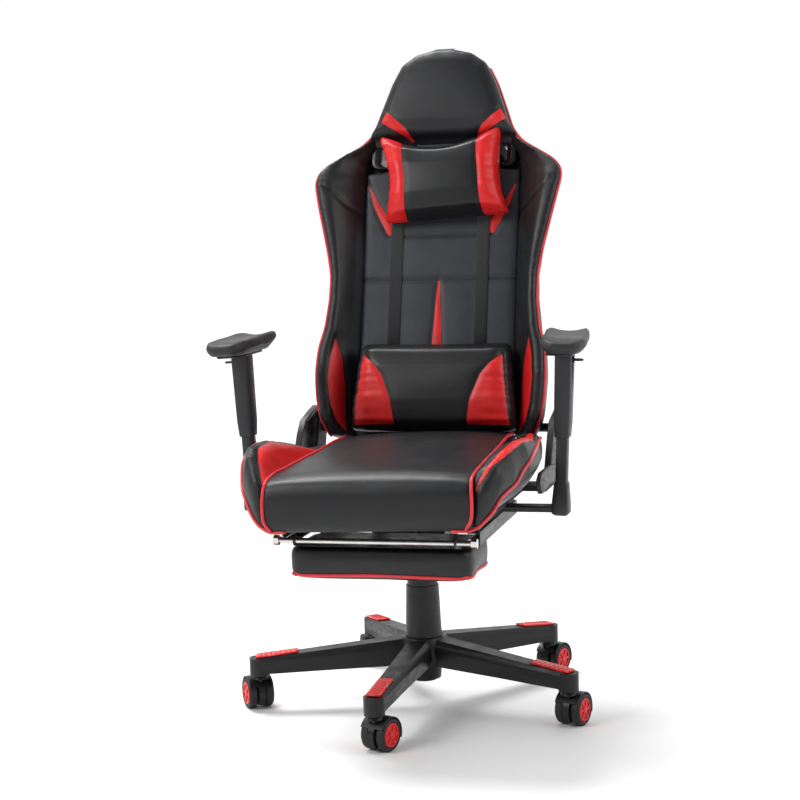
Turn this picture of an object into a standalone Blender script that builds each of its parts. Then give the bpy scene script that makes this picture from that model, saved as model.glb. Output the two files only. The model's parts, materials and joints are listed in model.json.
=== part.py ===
"""Racing style gaming chair with a pull-out footrest, as separate solids (metres, +Z up).

The column axis is x = 0, y = 0, the floor is z = 0 and the sitter faces -Y.
Each sub-part is one named object; each moving body hangs from an empty on its joint.
"""
from math import cos, pi, radians, sin, sqrt

import bmesh
import bpy
from mathutils import Matrix, Vector

# ---------------------------------------------------------------- driving dimensions
GAP = 0.0003                     # clearance between pieces that touch

WHEEL_R = 0.030                  # castor wheel radius
WHEEL_SIDES = 20
WHEEL_X = 0.0170                 # wheel centre, sideways from the castor's middle
WHEEL_HALF_W = 0.0088
TRAIL = 0.018                    # axle behind the swivel stem
STEM_CIRCLE_R = 0.325            # castor stems on the base star
FIRST_LEG = radians(-92.4)       # heading of leg 1, then one every 72 degrees
LEG_STEP = radians(72)
CASTOR_YAW = [radians(a) for a in (-20, -17, -22, 24, 35)]

HUB_TOP = 0.138
LEG_TOP_IN, LEG_TOP_OUT = 0.136, 0.1045
BOSS_TOP, BOSS_BOTTOM, BOSS_R = 0.1035, 0.069, 0.0195
LEG_PAD_LENGTH, LEG_PAD_WIDTH, LEG_PAD_THICK = 0.084, 0.029, 0.004

TUBE_R, PISTON_R = 0.0255, 0.0140

BOARD_Z0, BOARD_Z1 = 0.4213, 0.4325          # seat board, under the foam
SEAT_FRONT, SEAT_REAR = -0.385, 0.112
CENTRE_HALF_FRONT, CENTRE_HALF_REAR = 0.190, 0.170

TILT_PIVOT = Vector((0, -0.030, 0.360))
RECLINE = Vector((0, 0.160, 0.528))          # recline hinge axis, along X

LEAN = radians(15.4)                         # backrest angle behind vertical
BACK_ORIGIN = Vector((0, 0.151, 0.685))      # back-local origin: x, up the back, forward
SHELL_REAR, SHELL_FRONT = -0.075, -0.050
PANEL_FRONT = -0.020                         # front face of the flat centre panel

ARM_X, ARM_Y, ARM_FOOT_Z = 0.2985, -0.120, 0.403
ARM_LEAN = radians(2.6)
FOOTREST_ROD = Vector((0, -0.335, 0.388))
RUNNER_X = 0.1730

BLACK = (0.016, 0.016, 0.018)
DARK = (0.03, 0.03, 0.034)
RED = (0.55, 0.012, 0.015)
STEEL = (0.55, 0.55, 0.56)


# ---------------------------------------------------------------- scene and helpers
def fresh_scene():
    for obj in list(bpy.data.objects):
        bpy.data.objects.remove(obj, do_unlink=True)
    groups = []
    for name in ("gaming_chair", "cutters"):
        group = bpy.data.collections.new(name)
        bpy.context.scene.collection.children.link(group)
        groups.append(group)
    return groups


PARTS, CUTTERS = fresh_scene()
MATERIALS = {}


def material(name, colour, roughness, metallic=0.0):
    if name not in MATERIALS:
        mat = bpy.data.materials.new(name)
        mat.use_nodes = True
        shader = mat.node_tree.nodes["Principled BSDF"]
        shader.inputs["Base Color"].default_value = (*colour, 1.0)
        shader.inputs["Roughness"].default_value = roughness
        shader.inputs["Metallic"].default_value = metallic
        MATERIALS[name] = mat
    return MATERIALS[name]


def new_object(name, data, look=None):
    obj = bpy.data.objects.new(name, data)
    PARTS.objects.link(obj)
    if look:
        data.materials.append(material(*look))
    return obj


def as_cutter(obj):
    """Turn a helper solid into a hidden tool for a Boolean."""
    PARTS.objects.unlink(obj)
    CUTTERS.objects.link(obj)
    obj.hide_render = True
    obj.display_type = "WIRE"
    return obj


def combine(obj, tools, operation):
    for tool in tools:
        as_cutter(tool)
        mod = obj.modifiers.new(tool.name, "BOOLEAN")
        mod.operation = operation
        mod.solver = "EXACT"
        mod.object = tool
    return obj


def cut(obj, *tools):
    return combine(obj, tools, "DIFFERENCE")


def join(obj, *tools):
    return combine(obj, tools, "UNION")


def bevel(obj, width, segments=1, angle=35):
    mod = obj.modifiers.new("edges", "BEVEL")
    mod.width = width
    mod.segments = segments
    mod.limit_method = "ANGLE"
    mod.angle_limit = radians(angle)
    return obj


def mesh_from(name, build):
    bm = bmesh.new()
    build(bm)
    bmesh.ops.recalc_face_normals(bm, faces=bm.faces)
    mesh = bpy.data.meshes.new(name)
    bm.to_mesh(mesh)
    bm.free()
    return mesh


def box(name, low, high, look=None):
    """Axis-aligned box between two corners, in its own space."""
    size = [b - a for a, b in zip(low, high)]
    middle = [(a + b) / 2 for a, b in zip(low, high)]
    frame = Matrix.Translation(middle) @ Matrix.Diagonal((*size, 1))
    mesh = mesh_from(name, lambda bm: bmesh.ops.create_cube(bm, size=1.0, matrix=frame))
    return new_object(name, mesh, look)


def cylinder(name, radius, start, end, look=None, sides=16, radius_end=None):
    """Closed cylinder or cone from one point to another."""
    start, end = Vector(start), Vector(end)
    along = end - start
    turn = along.to_track_quat("Z", "Y").to_matrix().to_4x4()
    frame = Matrix.Translation((start + end) / 2) @ turn

    def build(bm):
        bmesh.ops.create_cone(
            bm, cap_ends=True, segments=sides, radius1=radius,
            radius2=radius if radius_end is None else radius_end,
            depth=along.length, matrix=frame)

    mesh = mesh_from(name, build)
    mesh.shade_smooth()
    mesh.set_sharp_from_angle(angle=radians(40))
    return new_object(name, mesh, look)


def turned(name, profile, look=None, sides=24, closed=True):
    """Solid of revolution about Z from (radius, z) points, running down the outer side."""
    def build(bm):
        verts = [bm.verts.new((r, 0, z)) for r, z in profile]
        count = len(verts) if closed else len(verts) - 1
        for i in range(count):
            bm.edges.new((verts[i], verts[(i + 1) % len(verts)]))

    bm = bmesh.new()
    build(bm)
    mesh = bpy.data.meshes.new(name)
    bm.to_mesh(mesh)
    bm.free()
    obj = new_object(name, mesh, look)
    screw = obj.modifiers.new("turn", "SCREW")
    screw.steps = sides
    screw.render_steps = sides
    screw.use_merge_vertices = True
    screw.merge_threshold = 0.00005
    return obj


def plate(name, outline, thickness, look=None):
    """Flat outline in local X, Y, extruded half its thickness each way along local Z."""
    curve = bpy.data.curves.new(name, "CURVE")
    curve.dimensions = "2D"
    curve.fill_mode = "BOTH"
    curve.extrude = thickness / 2
    spline = curve.splines.new("POLY")
    spline.points.add(len(outline) - 1)
    for point, (x, y) in zip(spline.points, outline):
        point.co = (x, y, 0, 1)
    spline.use_cyclic_u = True
    source = bpy.data.objects.new(name + "_outline", curve)
    PARTS.objects.link(source)
    bpy.context.view_layer.update()
    solid = source.evaluated_get(bpy.context.evaluated_depsgraph_get())
    mesh = bpy.data.meshes.new_from_object(solid)
    bpy.data.objects.remove(source, do_unlink=True)
    bm = bmesh.new()
    bm.from_mesh(mesh)
    bmesh.ops.remove_doubles(bm, verts=bm.verts, dist=0.00001)
    bm.to_mesh(mesh)
    bm.free()
    mesh.materials.clear()
    return new_object(name, mesh, look)


def loft(name, sections, look=None):
    """Closed body through rings of 3-D points; all rings have the same count."""
    def build(bm):
        rings = [[bm.verts.new(p) for p in ring] for ring in sections]
        count = len(rings[0])
        for lower, upper in zip(rings, rings[1:]):
            for i in range(count):
                j = (i + 1) % count
                bm.faces.new((lower[i], lower[j], upper[j], upper[i]))
        bm.faces.new(rings[0])
        bm.faces.new(rings[-1])

    mesh = mesh_from(name, build)
    mesh.shade_smooth()
    mesh.set_sharp_from_angle(angle=radians(40))
    return new_object(name, mesh, look)


def arc(cx, cy, radius, start, end, steps):
    """Points on a circular arc, angles in degrees."""
    return [
        (cx + radius * cos(radians(start + (end - start) * i / steps)),
         cy + radius * sin(radians(start + (end - start) * i / steps)))
        for i in range(steps + 1)]


def rounded(x0, y0, x1, y1, radius, steps=3):
    """Rectangle with round corners, anticlockwise."""
    r = radius
    return (arc(x1 - r, y0 + r, r, -90, 0, steps) + arc(x1 - r, y1 - r, r, 0, 90, steps)
            + arc(x0 + r, y1 - r, r, 90, 180, steps) + arc(x0 + r, y0 + r, r, 180, 270, steps))


def interpolate(table, t):
    """Straight-line reading of a table of (position, value) pairs."""
    for (t0, v0), (t1, v1) in zip(table, table[1:]):
        if t <= t1:
            return v0 + (v1 - v0) * (t - t0) / (t1 - t0)
    return table[-1][1]


PIVOTS = {}


def pivot(name, location, parent=None):
    """Empty on a joint axis; the solids of that moving body hang from it."""
    obj = bpy.data.objects.new(name, None)
    CUTTERS.objects.link(obj)
    obj.location = location
    obj.empty_display_size = 0.03
    PIVOTS[name] = Vector(location)
    if parent:
        hang(parent, obj)
    return obj


def hang(parent, *objects):
    """Parent objects to a pivot without moving them; pivots are never rotated."""
    for obj in objects:
        obj.parent = parent
        obj.matrix_parent_inverse = Matrix.Translation(-PIVOTS[parent.name])


def mirror_left(obj, sign):
    """Mirror a right-hand mesh to the left side when sign is negative."""
    if sign < 0:
        obj.data.transform(Matrix.Diagonal((-1, 1, 1, 1)))
        obj.data.flip_normals()


def side_view(obj, x):
    """Stand a plate up in the Y, Z plane with its middle at x."""
    obj.rotation_euler = (pi / 2, 0, pi / 2)
    obj.location = (x, 0, 0)
    return obj


def on_back(obj):
    """Place a back-local object: x across, y up the back, z forward out of it."""
    obj.rotation_euler = (pi / 2 - LEAN, 0, 0)
    obj.location = BACK_ORIGIN
    return obj


SIDES = (("left", -1), ("right", 1))


# ---------------------------------------------------------------- base star and castors
def leg_top(r):
    """Height of a leg's top face at distance r from the column."""
    return interpolate(((0.035, LEG_TOP_IN), (STEM_CIRCLE_R, LEG_TOP_OUT)), r)


def leg_section(r, top, shoulder, bottom, drop, z_bottom):
    z = leg_top(r)
    return [(r, -top, z), (r, top, z), (r, shoulder, z - drop), (r, shoulder, z - 2 * drop),
            (r, bottom, z_bottom), (r, -bottom, z_bottom), (r, -shoulder, z - 2 * drop),
            (r, -shoulder, z - drop)]


def base_star():
    black = ("base_plastic", BLACK, 0.42)
    hub = turned("base_star", [
        (TUBE_R + GAP, 0.054), (TUBE_R + GAP, HUB_TOP), (0.043, HUB_TOP), (0.050, 0.126),
        (0.050, 0.084), (0.034, 0.078), (0.032, 0.054)], black, sides=30)
    tools = []
    for i in range(5):
        heading = FIRST_LEG + i * LEG_STEP
        leg = loft("leg_tool", [
            leg_section(0.035, 0.018, 0.027, 0.021, 0.010, 0.083),
            leg_section(0.180, 0.0165, 0.0225, 0.018, 0.009, 0.078),
            leg_section(0.3255, 0.0150, 0.0190, 0.0165, 0.007, 0.0725)])
        boss = cylinder("boss_tool", BOSS_R, (STEM_CIRCLE_R, 0, BOSS_BOTTOM),
                        (STEM_CIRCLE_R, 0, BOSS_TOP), sides=20)
        for tool in (leg, boss):
            tool.rotation_euler = (0, 0, heading)
            tools.append(tool)
    join(hub, *tools)
    sockets = []
    for i in range(5):
        x, y = stem_place(i)
        sockets.append(cylinder("socket_tool", 0.0056, (x, y, 0.060), (x, y, 0.097), sides=12))
    return cut(hub, *sockets)


def stem_place(i):
    heading = FIRST_LEG + i * LEG_STEP
    return STEM_CIRCLE_R * cos(heading), STEM_CIRCLE_R * sin(heading)


def leg_pads():
    """Glossy tread plates let into the top of each leg near its end."""
    slope = (LEG_TOP_OUT - LEG_TOP_IN) / (STEM_CIRCLE_R - 0.035)
    r_out = STEM_CIRCLE_R + 0.007
    r_in = r_out - LEG_PAD_LENGTH
    half = LEG_PAD_WIDTH / 2
    pads = []
    for i in range(5):
        low = leg_top(r_in) + GAP
        pad = box(f"leg_pad_{i + 1}", (0, -half, 0), (LEG_PAD_LENGTH, half, LEG_PAD_THICK),
                  ("pad_red", RED, 0.22))
        for vert in pad.data.vertices:
            vert.co.z += slope * vert.co.x + low
            vert.co.x += r_in
        pad.rotation_euler = (0, 0, FIRST_LEG + i * LEG_STEP)
        pads.append(bevel(pad, 0.0015))
    return pads


def castor(i):
    """Hooded twin-wheel castor; local Y is the trailing direction, local X the axle."""
    x, y = stem_place(i)
    yaw = CASTOR_YAW[i]
    name = f"castor_{i + 1}"
    black = ("castor_black", BLACK, 0.4)
    web = plate(f"{name}_hood", arc(TRAIL, WHEEL_R, 0.0335, -38, 218, 16), 0.0130, black)
    side_view(web, 0)
    shell = side_view(plate(
        "hood_tool", arc(TRAIL, WHEEL_R, 0.0340, -20, 150, 12)
        + arc(TRAIL, WHEEL_R, 0.0314, 150, -20, 12), 2 * (WHEEL_X + WHEEL_HALF_W) - 0.004), 0)
    neck = cylinder("neck_tool", 0.0155, (0, 0, 0.0612), (0, 0, 0.0685), sides=16,
                    radius_end=0.0125)
    stem = cylinder("stem_tool", 0.0053, (0, 0, 0.055), (0, 0, 0.096), sides=12)
    axle = cylinder("axle_tool", 0.0039, (-WHEEL_X - 0.006, TRAIL, WHEEL_R),
                    (WHEEL_X + 0.006, TRAIL, WHEEL_R), sides=12)
    join(web, shell, neck, stem, axle)
    swivel = pivot(f"{name}_swivel", (x, y, 0))
    for obj in (web, shell, neck, stem, axle):
        turn = Matrix.Translation((x, y, 0)) @ Matrix.Rotation(yaw, 4, "Z")
        place(obj, turn)
    hang(swivel, web)
    for side, sign in SIDES:
        wheel = castor_wheel(f"{name}_wheel_{side}")
        centre = turn @ Vector((sign * WHEEL_X, TRAIL, WHEEL_R))
        spin = Matrix.Rotation(sign * pi / 2, 4, "Y")
        place(wheel, Matrix.Translation(centre) @ Matrix.Rotation(yaw, 4, "Z") @ spin
              @ Matrix.Rotation(pi / WHEEL_SIDES, 4, "Z"))
        hang(pivot(f"{name}_axle_{side}", centre, swivel), wheel)


def place(obj, world):
    """Move an object by a world matrix on top of where it stands."""
    obj.matrix_basis = world @ obj.matrix_basis


def castor_wheel(name):
    """Wheel about local Z with its outer face up; a flat facet can face the floor."""
    flat = WHEEL_R / cos(pi / WHEEL_SIDES)
    w = WHEEL_HALF_W
    return turned(name, [
        (0.0042, -w), (0.0042, w - 0.0015), (0.0225, w - 0.0015), (0.0245, w),
        (0.0275, w), (flat, w - 0.0035), (flat, -w + 0.0020), (0.0285, -w)],
        ("wheel_black", BLACK, 0.45), sides=WHEEL_SIDES)


# ---------------------------------------------------------------- gas lift
def gas_lift():
    tube = turned("gas_lift_tube", [
        (0, 0.082), (PISTON_R + GAP, 0.082), (PISTON_R + GAP, 0.245), (TUBE_R, 0.245),
        (TUBE_R, 0.090), (0.0245, 0.050), (0, 0.050)],
        ("tube_black", BLACK, 0.35, 0.5), sides=20, closed=False)
    lower = turned("lift_cover_lower", [
        (0.0330, HUB_TOP + GAP), (0.0300, 0.240), (0.0318, 0.240), (0.0322, 0.236),
        (0.0352, 0.150), (0.0368, HUB_TOP + GAP)], ("cover_black", DARK, 0.5), sides=28)
    piston = turned("lift_piston", [
        (0, 0.3655), (PISTON_R, 0.3655), (PISTON_R, 0.150), (0, 0.150)],
        ("piston_steel", STEEL, 0.2, 1.0), sides=20, closed=False)
    upper = turned("lift_cover_upper", [
        (0.0272, 0.205), (0.0272, 0.3335), (0.0295, 0.3335), (0.0295, 0.205)],
        ("cover_black", DARK, 0.5), sides=28)
    lift = pivot("lift_slide", (0, 0, 0.245))
    hang(lift, piston, upper)
    return [tube, lower], lift


# ---------------------------------------------------------------- tilt mechanism
def mechanism(lift):
    black = ("mechanism_black", BLACK, 0.45, 0.6)
    swivel = pivot("seat_swivel", (0, 0, 0.335), lift)
    housing = bevel(box("tilt_housing", (-0.072, -0.100, 0.336), (0.072, 0.115, 0.3700), black),
                    0.0028)
    join(housing,
         cylinder("pin_tool", 0.0060, TILT_PIVOT - Vector((0.085, 0, 0)),
                  TILT_PIVOT + Vector((0.085, 0, 0)), sides=12),
         cylinder("screw_tool", 0.0045, (0, -0.095, 0.353), (0, -0.112, 0.353), sides=12))
    cut(housing, cylinder("socket_tool", PISTON_R + GAP, (0, 0, 0.320), (0, 0, 0.367), sides=20),
        cylinder("lever_bore_tool", 0.0046, (-0.05, 0.060, 0.353), (-0.09, 0.060, 0.353), sides=12))
    knob = turned("tension_knob", [
        (0.0048, 0.0), (0.0048, 0.022), (0.018, 0.022), (0.022, 0.019), (0.022, 0.003),
        (0.019, 0.0)], ("knob_black", DARK, 0.5), sides=18)
    knob.rotation_euler = (pi / 2, 0, 0)
    knob.location = (0, -0.103, 0.353)
    hang(pivot("knob_turn", knob.location, swivel), knob)

    lever = cylinder("height_lever", 0.0042, (-0.073, 0.060, 0.353), (-0.215, 0.060, 0.353),
                     ("lever_black", DARK, 0.45), sides=12)
    grip = box("grip_tool", (-0.275, 0.046, 0.3475), (-0.205, 0.074, 0.3555))
    join(lever, bevel(grip, 0.003))
    hang(pivot("height_lever_hinge", (-0.073, 0.060, 0.353), swivel), lever)
    hang(swivel, housing)

    tilt = pivot("seat_tilt", TILT_PIVOT, swivel)
    top = bevel(box("mechanism_plate", (-0.112, -0.125, 0.4155), (0.112, 0.125, 0.4210), black),
                0.0015)
    ears = []
    for _, sign in SIDES:
        outline = ([(-0.075, 0.4170), (-0.050, 0.356)]
                   + arc(TILT_PIVOT.y, TILT_PIVOT.z, 0.014, 200, 340, 6)
                   + [(-0.010, 0.356), (0.070, 0.4170)])
        ears.append(side_view(plate("ear_tool", outline, 0.004), sign * 0.0770))
    join(top, *ears)
    cut(top, cylinder("pin_bore_tool", 0.0063, TILT_PIVOT - Vector((0.09, 0, 0)),
                      TILT_PIVOT + Vector((0.09, 0, 0)), sides=12))
    hang(tilt, top)
    return tilt


# ---------------------------------------------------------------- seat
BOLSTER_ROWS = (
    # along, outer half width, ridge height, underside
    (-0.379, 0.207, 0.498, 0.428), (-0.369, 0.220, 0.522, 0.419), (-0.3505, 0.236, 0.546, 0.418),
    (-0.3490, 0.237, 0.547, BOARD_Z1 + GAP), (-0.305, 0.252, 0.560, BOARD_Z1 + GAP),
    (-0.220, 0.261, 0.558, BOARD_Z1 + GAP), (-0.110, 0.257, 0.538, BOARD_Z1 + GAP),
    (-0.020, 0.2465, 0.515, BOARD_Z1 + GAP), (0.060, 0.2335, 0.510, BOARD_Z1 + GAP),
    (0.084, 0.2285, 0.507, BOARD_Z1 + GAP))
REAR_LIFT = {"left": 0.0, "right": 0.015}  # the right bolster stands higher towards the back


def centre_half(y):
    return interpolate(((SEAT_FRONT, CENTRE_HALF_FRONT), (SEAT_REAR, CENTRE_HALF_REAR)), y)


def seat_cushion():
    """Flat centre of the seat; its round nose wraps down over the front of the board."""
    low = BOARD_Z1 + GAP
    rows = ((SEAT_FRONT, 0.432, 0.482), (-0.381, 0.420, 0.499), (-0.372, 0.4135, 0.508),
            (-0.3505, 0.4130, 0.5150), (-0.3490, low, 0.5155), (-0.250, low, 0.5205),
            (-0.100, low, 0.5235), (-0.020, low, 0.5280), (0.040, low, 0.5295),
            (0.085, low, 0.5275), (0.103, 0.436, 0.5235), (SEAT_REAR, 0.446, 0.512))
    rings = []
    for y, z0, z1 in rows:
        half = centre_half(y)
        rings.append([
            (-half, y, z0), (half, y, z0), (half, y, z1 - 0.007), (0.75 * half, y, z1 - 0.002),
            (0.4 * half, y, z1), (-0.4 * half, y, z1), (-0.75 * half, y, z1 - 0.002),
            (-half, y, z1 - 0.007)])
    return loft("seat_cushion", rings, ("seat_leather", BLACK, 0.35))


def seat_bolster(side, sign):
    """Raised side of the seat: a ridge that falls away to the rear and tucks in below."""
    rings = []
    for y, outer, top, base in BOLSTER_ROWS:
        inner = centre_half(y) + 2 * GAP
        width = outer - inner
        top += interpolate(((-0.110, 0.0), (0.060, REAR_LIFT[side])), y)
        rise = top - 0.480
        ring = [(inner, base), (outer - 0.75 * width, base), (outer - 0.25 * width, base + 0.024),
                (outer, 0.486), (outer - 0.03 * width, 0.486 + 0.55 * (top - 0.486)),
                (outer - 0.15 * width, top - 0.005), (outer - 0.36 * width, top),
                (inner + 0.28 * width, 0.492 + 0.75 * (top - 0.492)),
                (inner, min(0.508, 0.480 + 0.9 * rise))]
        rings.append([(sign * x, y, z) for x, z in ring])
    return loft(f"seat_bolster_{side}", rings, ("bolster_leather", RED, 0.35))


def seat_frame():
    """Seat board with the two steel arms that carry the recline hinges."""
    board = plate("seat_frame", rounded(-0.200, -0.345, 0.200, 0.090, 0.040, 4),
                  BOARD_Z1 - BOARD_Z0, ("frame_steel", DARK, 0.45, 0.6))
    board.location.z = (BOARD_Z0 + BOARD_Z1) / 2
    hy, hz = RECLINE.y, RECLINE.z
    arm = [(0.020, BOARD_Z0), (0.150, BOARD_Z0)] + arc(hy, hz, 0.030, -15, 175, 10) + [
        (0.108, 0.470), (0.098, BOARD_Z1), (0.020, BOARD_Z1)]
    tools = []
    for _, sign in SIDES:
        tools.append(side_view(plate("arm_tool", arm, 0.004), sign * 0.2440))
        tie = box("tie_tool", (-0.030, 0.025, BOARD_Z0), (0.030, 0.080, BOARD_Z1))
        tie.location.x = sign * 0.2150
        tools.append(tie)
    join(board, *tools)
    bore = cylinder("bore_tool", 0.0073, (-0.26, hy, hz), (0.26, hy, hz), sides=16)
    return cut(board, bore)


def hinge_cover(side, sign):
    """Moulded cover over a recline hinge, hollow towards the chair."""
    outline = [(0.000, 0.440), (0.100, 0.432), (0.150, 0.430), (0.197, 0.500), (0.200, 0.536),
               (0.182, 0.565), (0.150, 0.575), (0.118, 0.569), (0.062, 0.555), (0.038, 0.530),
               (0.000, 0.470), (-0.006, 0.452)]
    inside = [(0.008, 0.448), (0.100, 0.440), (0.146, 0.439), (0.189, 0.503), (0.192, 0.534),
              (0.177, 0.558), (0.150, 0.567), (0.120, 0.561), (0.067, 0.548), (0.045, 0.526),
              (0.008, 0.467)]
    cover = side_view(plate(f"hinge_cover_{side}", outline, 0.0135,
                            ("cover_plastic", DARK, 0.5)), sign * 0.25325)
    bevel(cover, 0.003)
    pocket = side_view(plate("pocket_tool", inside, 0.0190), sign * 0.2480)
    return cut(cover, pocket)


def recline_lever(parent):
    """Handle low beside the seat; lifting its front end frees the backrest."""
    axis = Vector((0.2610, 0.085, 0.4520))
    outline = (arc(axis.y, axis.z, 0.012, -80, 80, 6)
               + [(0.030, 0.474), (-0.050, 0.484), (-0.150, 0.486), (-0.170, 0.476),
                  (-0.170, 0.459), (-0.156, 0.4470), (-0.125, 0.4455), (-0.050, 0.4530),
                  (0.030, 0.450)])
    lever = side_view(plate("recline_lever", outline, 0.0080, ("lever_black", DARK, 0.45)),
                      0.2665)
    bevel(lever, 0.0015)
    join(lever, cylinder("boss_tool", 0.0090, axis, axis + Vector((0.004, 0, 0)), sides=12))
    hang(pivot("recline_lever_hinge", axis, parent), lever)


# ---------------------------------------------------------------- arms
def arm_frame(sign):
    """Matrix of an arm's own space: Z up the leaning post, X outwards on the right."""
    return (Matrix.Translation((sign * ARM_X, ARM_Y, ARM_FOOT_Z))
            @ Matrix.Rotation(sign * ARM_LEAN, 4, "Y"))


def post_section(half_x, half_y, corner, z):
    return [(x, y, z) for x, y in rounded(-half_x, -half_y, half_x, half_y, corner, 2)]


def arm(side, sign, seat):
    black = ("arm_black", BLACK, 0.5)
    frame = arm_frame(sign)
    bracket = loft(f"arm_bracket_{side}", [
        post_section(0.0120, 0.0150, 0.006, 0.0), post_section(0.0165, 0.0200, 0.008, 0.004),
        post_section(0.0165, 0.0200, 0.008, 0.018), post_section(0.0130, 0.0165, 0.006, 0.058),
        post_section(0.0105, 0.0145, 0.004, 0.063), post_section(0.0105, 0.0145, 0.004, 0.234)],
        black)
    place(bracket, frame)
    bar = bevel(box("bar_tool", (0.130, -0.137, 0.4092), (0.296, -0.103, 0.4207)), 0.002)
    mirror_left(bar, sign)
    join(bracket, bar)
    hang(seat, bracket)

    height = pivot(f"arm_height_{side}", frame @ Vector((0, 0, 0.145)), seat)
    sleeve = loft(f"arm_sleeve_{side}", [
        post_section(0.0135, 0.0175, 0.005, 0.145), post_section(0.0150, 0.0215, 0.006, 0.175),
        post_section(0.0160, 0.0240, 0.007, 0.302)], black)
    bore = box("bore_tool", (-0.0108, -0.0148, 0.140), (0.0108, 0.0148, 0.296))
    slot = box("slot_tool", (0.0090, -0.0115, 0.2815), (0.0250, 0.0115, 0.2945))
    flange = bevel(box("flange_tool", (-0.024, -0.075, 0.3005), (0.024, 0.055, 0.3060)), 0.002)
    join(sleeve, flange)
    cut(sleeve, bore, slot)
    if sign < 0:
        slot.data.transform(Matrix.Rotation(pi, 4, "Z"))
    for obj in (sleeve, bore, slot, flange):
        place(obj, frame)
    pad = arm_pad(side)
    place(pad, frame)
    hang(height, sleeve, pad)

    lever_outline = [(0.0113, -0.0095), (0.0200, -0.0095)] + arc(
        0.0240, 0.0, 0.0110, -70, 70, 6) + [(0.0200, 0.0095), (0.0113, 0.0095)]
    lever = plate(f"arm_lever_{side}", lever_outline, 0.0040, ("lever_black", DARK, 0.45))
    bevel(lever, 0.0010)
    if sign < 0:
        lever.data.transform(Matrix.Rotation(pi, 4, "Z"))
    hinge = Vector((sign * 0.0130, 0, 0.2882))
    place(lever, frame @ Matrix.Translation((0, 0, hinge.z)))
    hang(pivot(f"arm_lever_hinge_{side}", frame @ hinge, height), lever)


PAD_ROWS = (
    # along, half width, rim height, dish depth, underside
    (-0.130, 0.021, 0.007, 0.000, -0.004), (-0.120, 0.032, 0.012, 0.001, -0.010),
    (-0.095, 0.0395, 0.015, 0.002, -0.0115), (-0.055, 0.0410, 0.016, 0.003, -0.0115),
    (0.000, 0.0400, 0.017, 0.005, -0.0115), (0.045, 0.0405, 0.019, 0.006, -0.0115),
    (0.075, 0.0390, 0.019, 0.006, -0.003), (0.095, 0.032, 0.015, 0.004, 0.002),
    (0.103, 0.021, 0.011, 0.001, 0.004))
PAD_TURN = {"left": 0.0, "right": radians(6)}  # each pad sits a little askew on its flange


def arm_pad(side):
    """Dished arm pad: blunt nose, raised rims, tail clear underneath."""
    rings = []
    for along, half, rim, dish, under in PAD_ROWS:
        y = along + 0.020
        top = 0.3180
        low = top + under
        high = top + rim
        ring = [(-0.70 * half, low), (0.70 * half, low), (half, low + 0.45 * (high - low)),
                (0.96 * half, high - 0.003), (0.82 * half, high), (0.45 * half, high - 0.7 * dish),
                (0, high - dish), (-0.45 * half, high - 0.7 * dish), (-0.82 * half, high),
                (-0.96 * half, high - 0.003), (-half, low + 0.45 * (high - low))]
        rings.append([(x, y, z) for x, z in ring])
    pad = loft(f"arm_pad_{side}", rings, ("pad_black", DARK, 0.55))
    pad.data.transform(Matrix.Rotation(PAD_TURN[side], 4, "Z"))
    return pad


# ---------------------------------------------------------------- footrest
def footrest(seat):
    steel = ("rail_steel", DARK, 0.4, 0.7)
    for side, sign in SIDES:
        rail = box(f"footrest_rail_{side}", (0.1605, -0.300, 0.3765), (0.1845, 0.040, 0.4020),
                   steel)
        hangers = [box("hanger_tool", (0.1645, y - 0.020, 0.4010), (0.1805, y + 0.020, 0.4210))
                   for y in (-0.275, 0.015)]
        join(rail, *hangers)
        channel = box("channel_tool", (0.1450, -0.320, 0.3800), (0.1815, 0.060, 0.3985))
        cut(rail, channel)
        for obj in (rail, channel, *hangers):
            mirror_left(obj, sign)
        hang(seat, rail)

    slide = pivot("footrest_slide", FOOTREST_ROD, seat)
    x, y, z = RUNNER_X, FOOTREST_ROD.y, FOOTREST_ROD.z
    rod = cylinder("footrest_rod", 0.0050, (-x - 0.010, y, z), (x + 0.010, y, z),
                   ("rod_chrome", STEEL, 0.15, 1.0), sides=14)
    tools = []
    for _, sign in SIDES:
        tools.append(cylinder("nut_tool", 0.0095, (sign * (x + 0.004), y, z),
                              (sign * (x + 0.014), y, z), sides=6))
        tools.append(cylinder("runner_tool", 0.0058, (sign * x, y + 0.002, z + 0.0012),
                              (sign * x, 0.030, z + 0.0012), sides=12))
    join(rod, *tools)
    hang(slide, rod)

    flip = pivot("footrest_flip", FOOTREST_ROD, slide)
    bracket = box("footrest_hinge_plate", (-0.150, -0.300, 0.3690), (0.150, -0.165, 0.3720),
                  steel)
    ears = []
    for _, sign in SIDES:
        outline = ([(-0.300, 0.3695), (-0.270, 0.3695), (-0.270, 0.3718), (-0.322, 0.3935)]
                   + arc(y, z, 0.0100, 30, 250, 8) + [(-0.325, 0.3760)])
        ears.append(side_view(plate("ear_tool", outline, 0.003), sign * 0.1480))
    join(bracket, *ears)
    cut(bracket, cylinder("rod_bore_tool", 0.0053, (-0.2, y, z), (0.2, y, z), sides=14))
    cushion = loft("footrest_pad", [
        [(px, py, pz) for px, py in rounded(-0.169 + inset, -0.312 + inset, 0.169 - inset,
                                            -0.152 - inset, 0.020, 3)]
        for inset, pz in ((0.004, 0.3685), (0.000, 0.3600), (0.000, 0.3230), (0.004, 0.3160),
                          (0.014, 0.3135))], ("footrest_leather", BLACK, 0.35))
    hang(flip, bracket, cushion)


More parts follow.
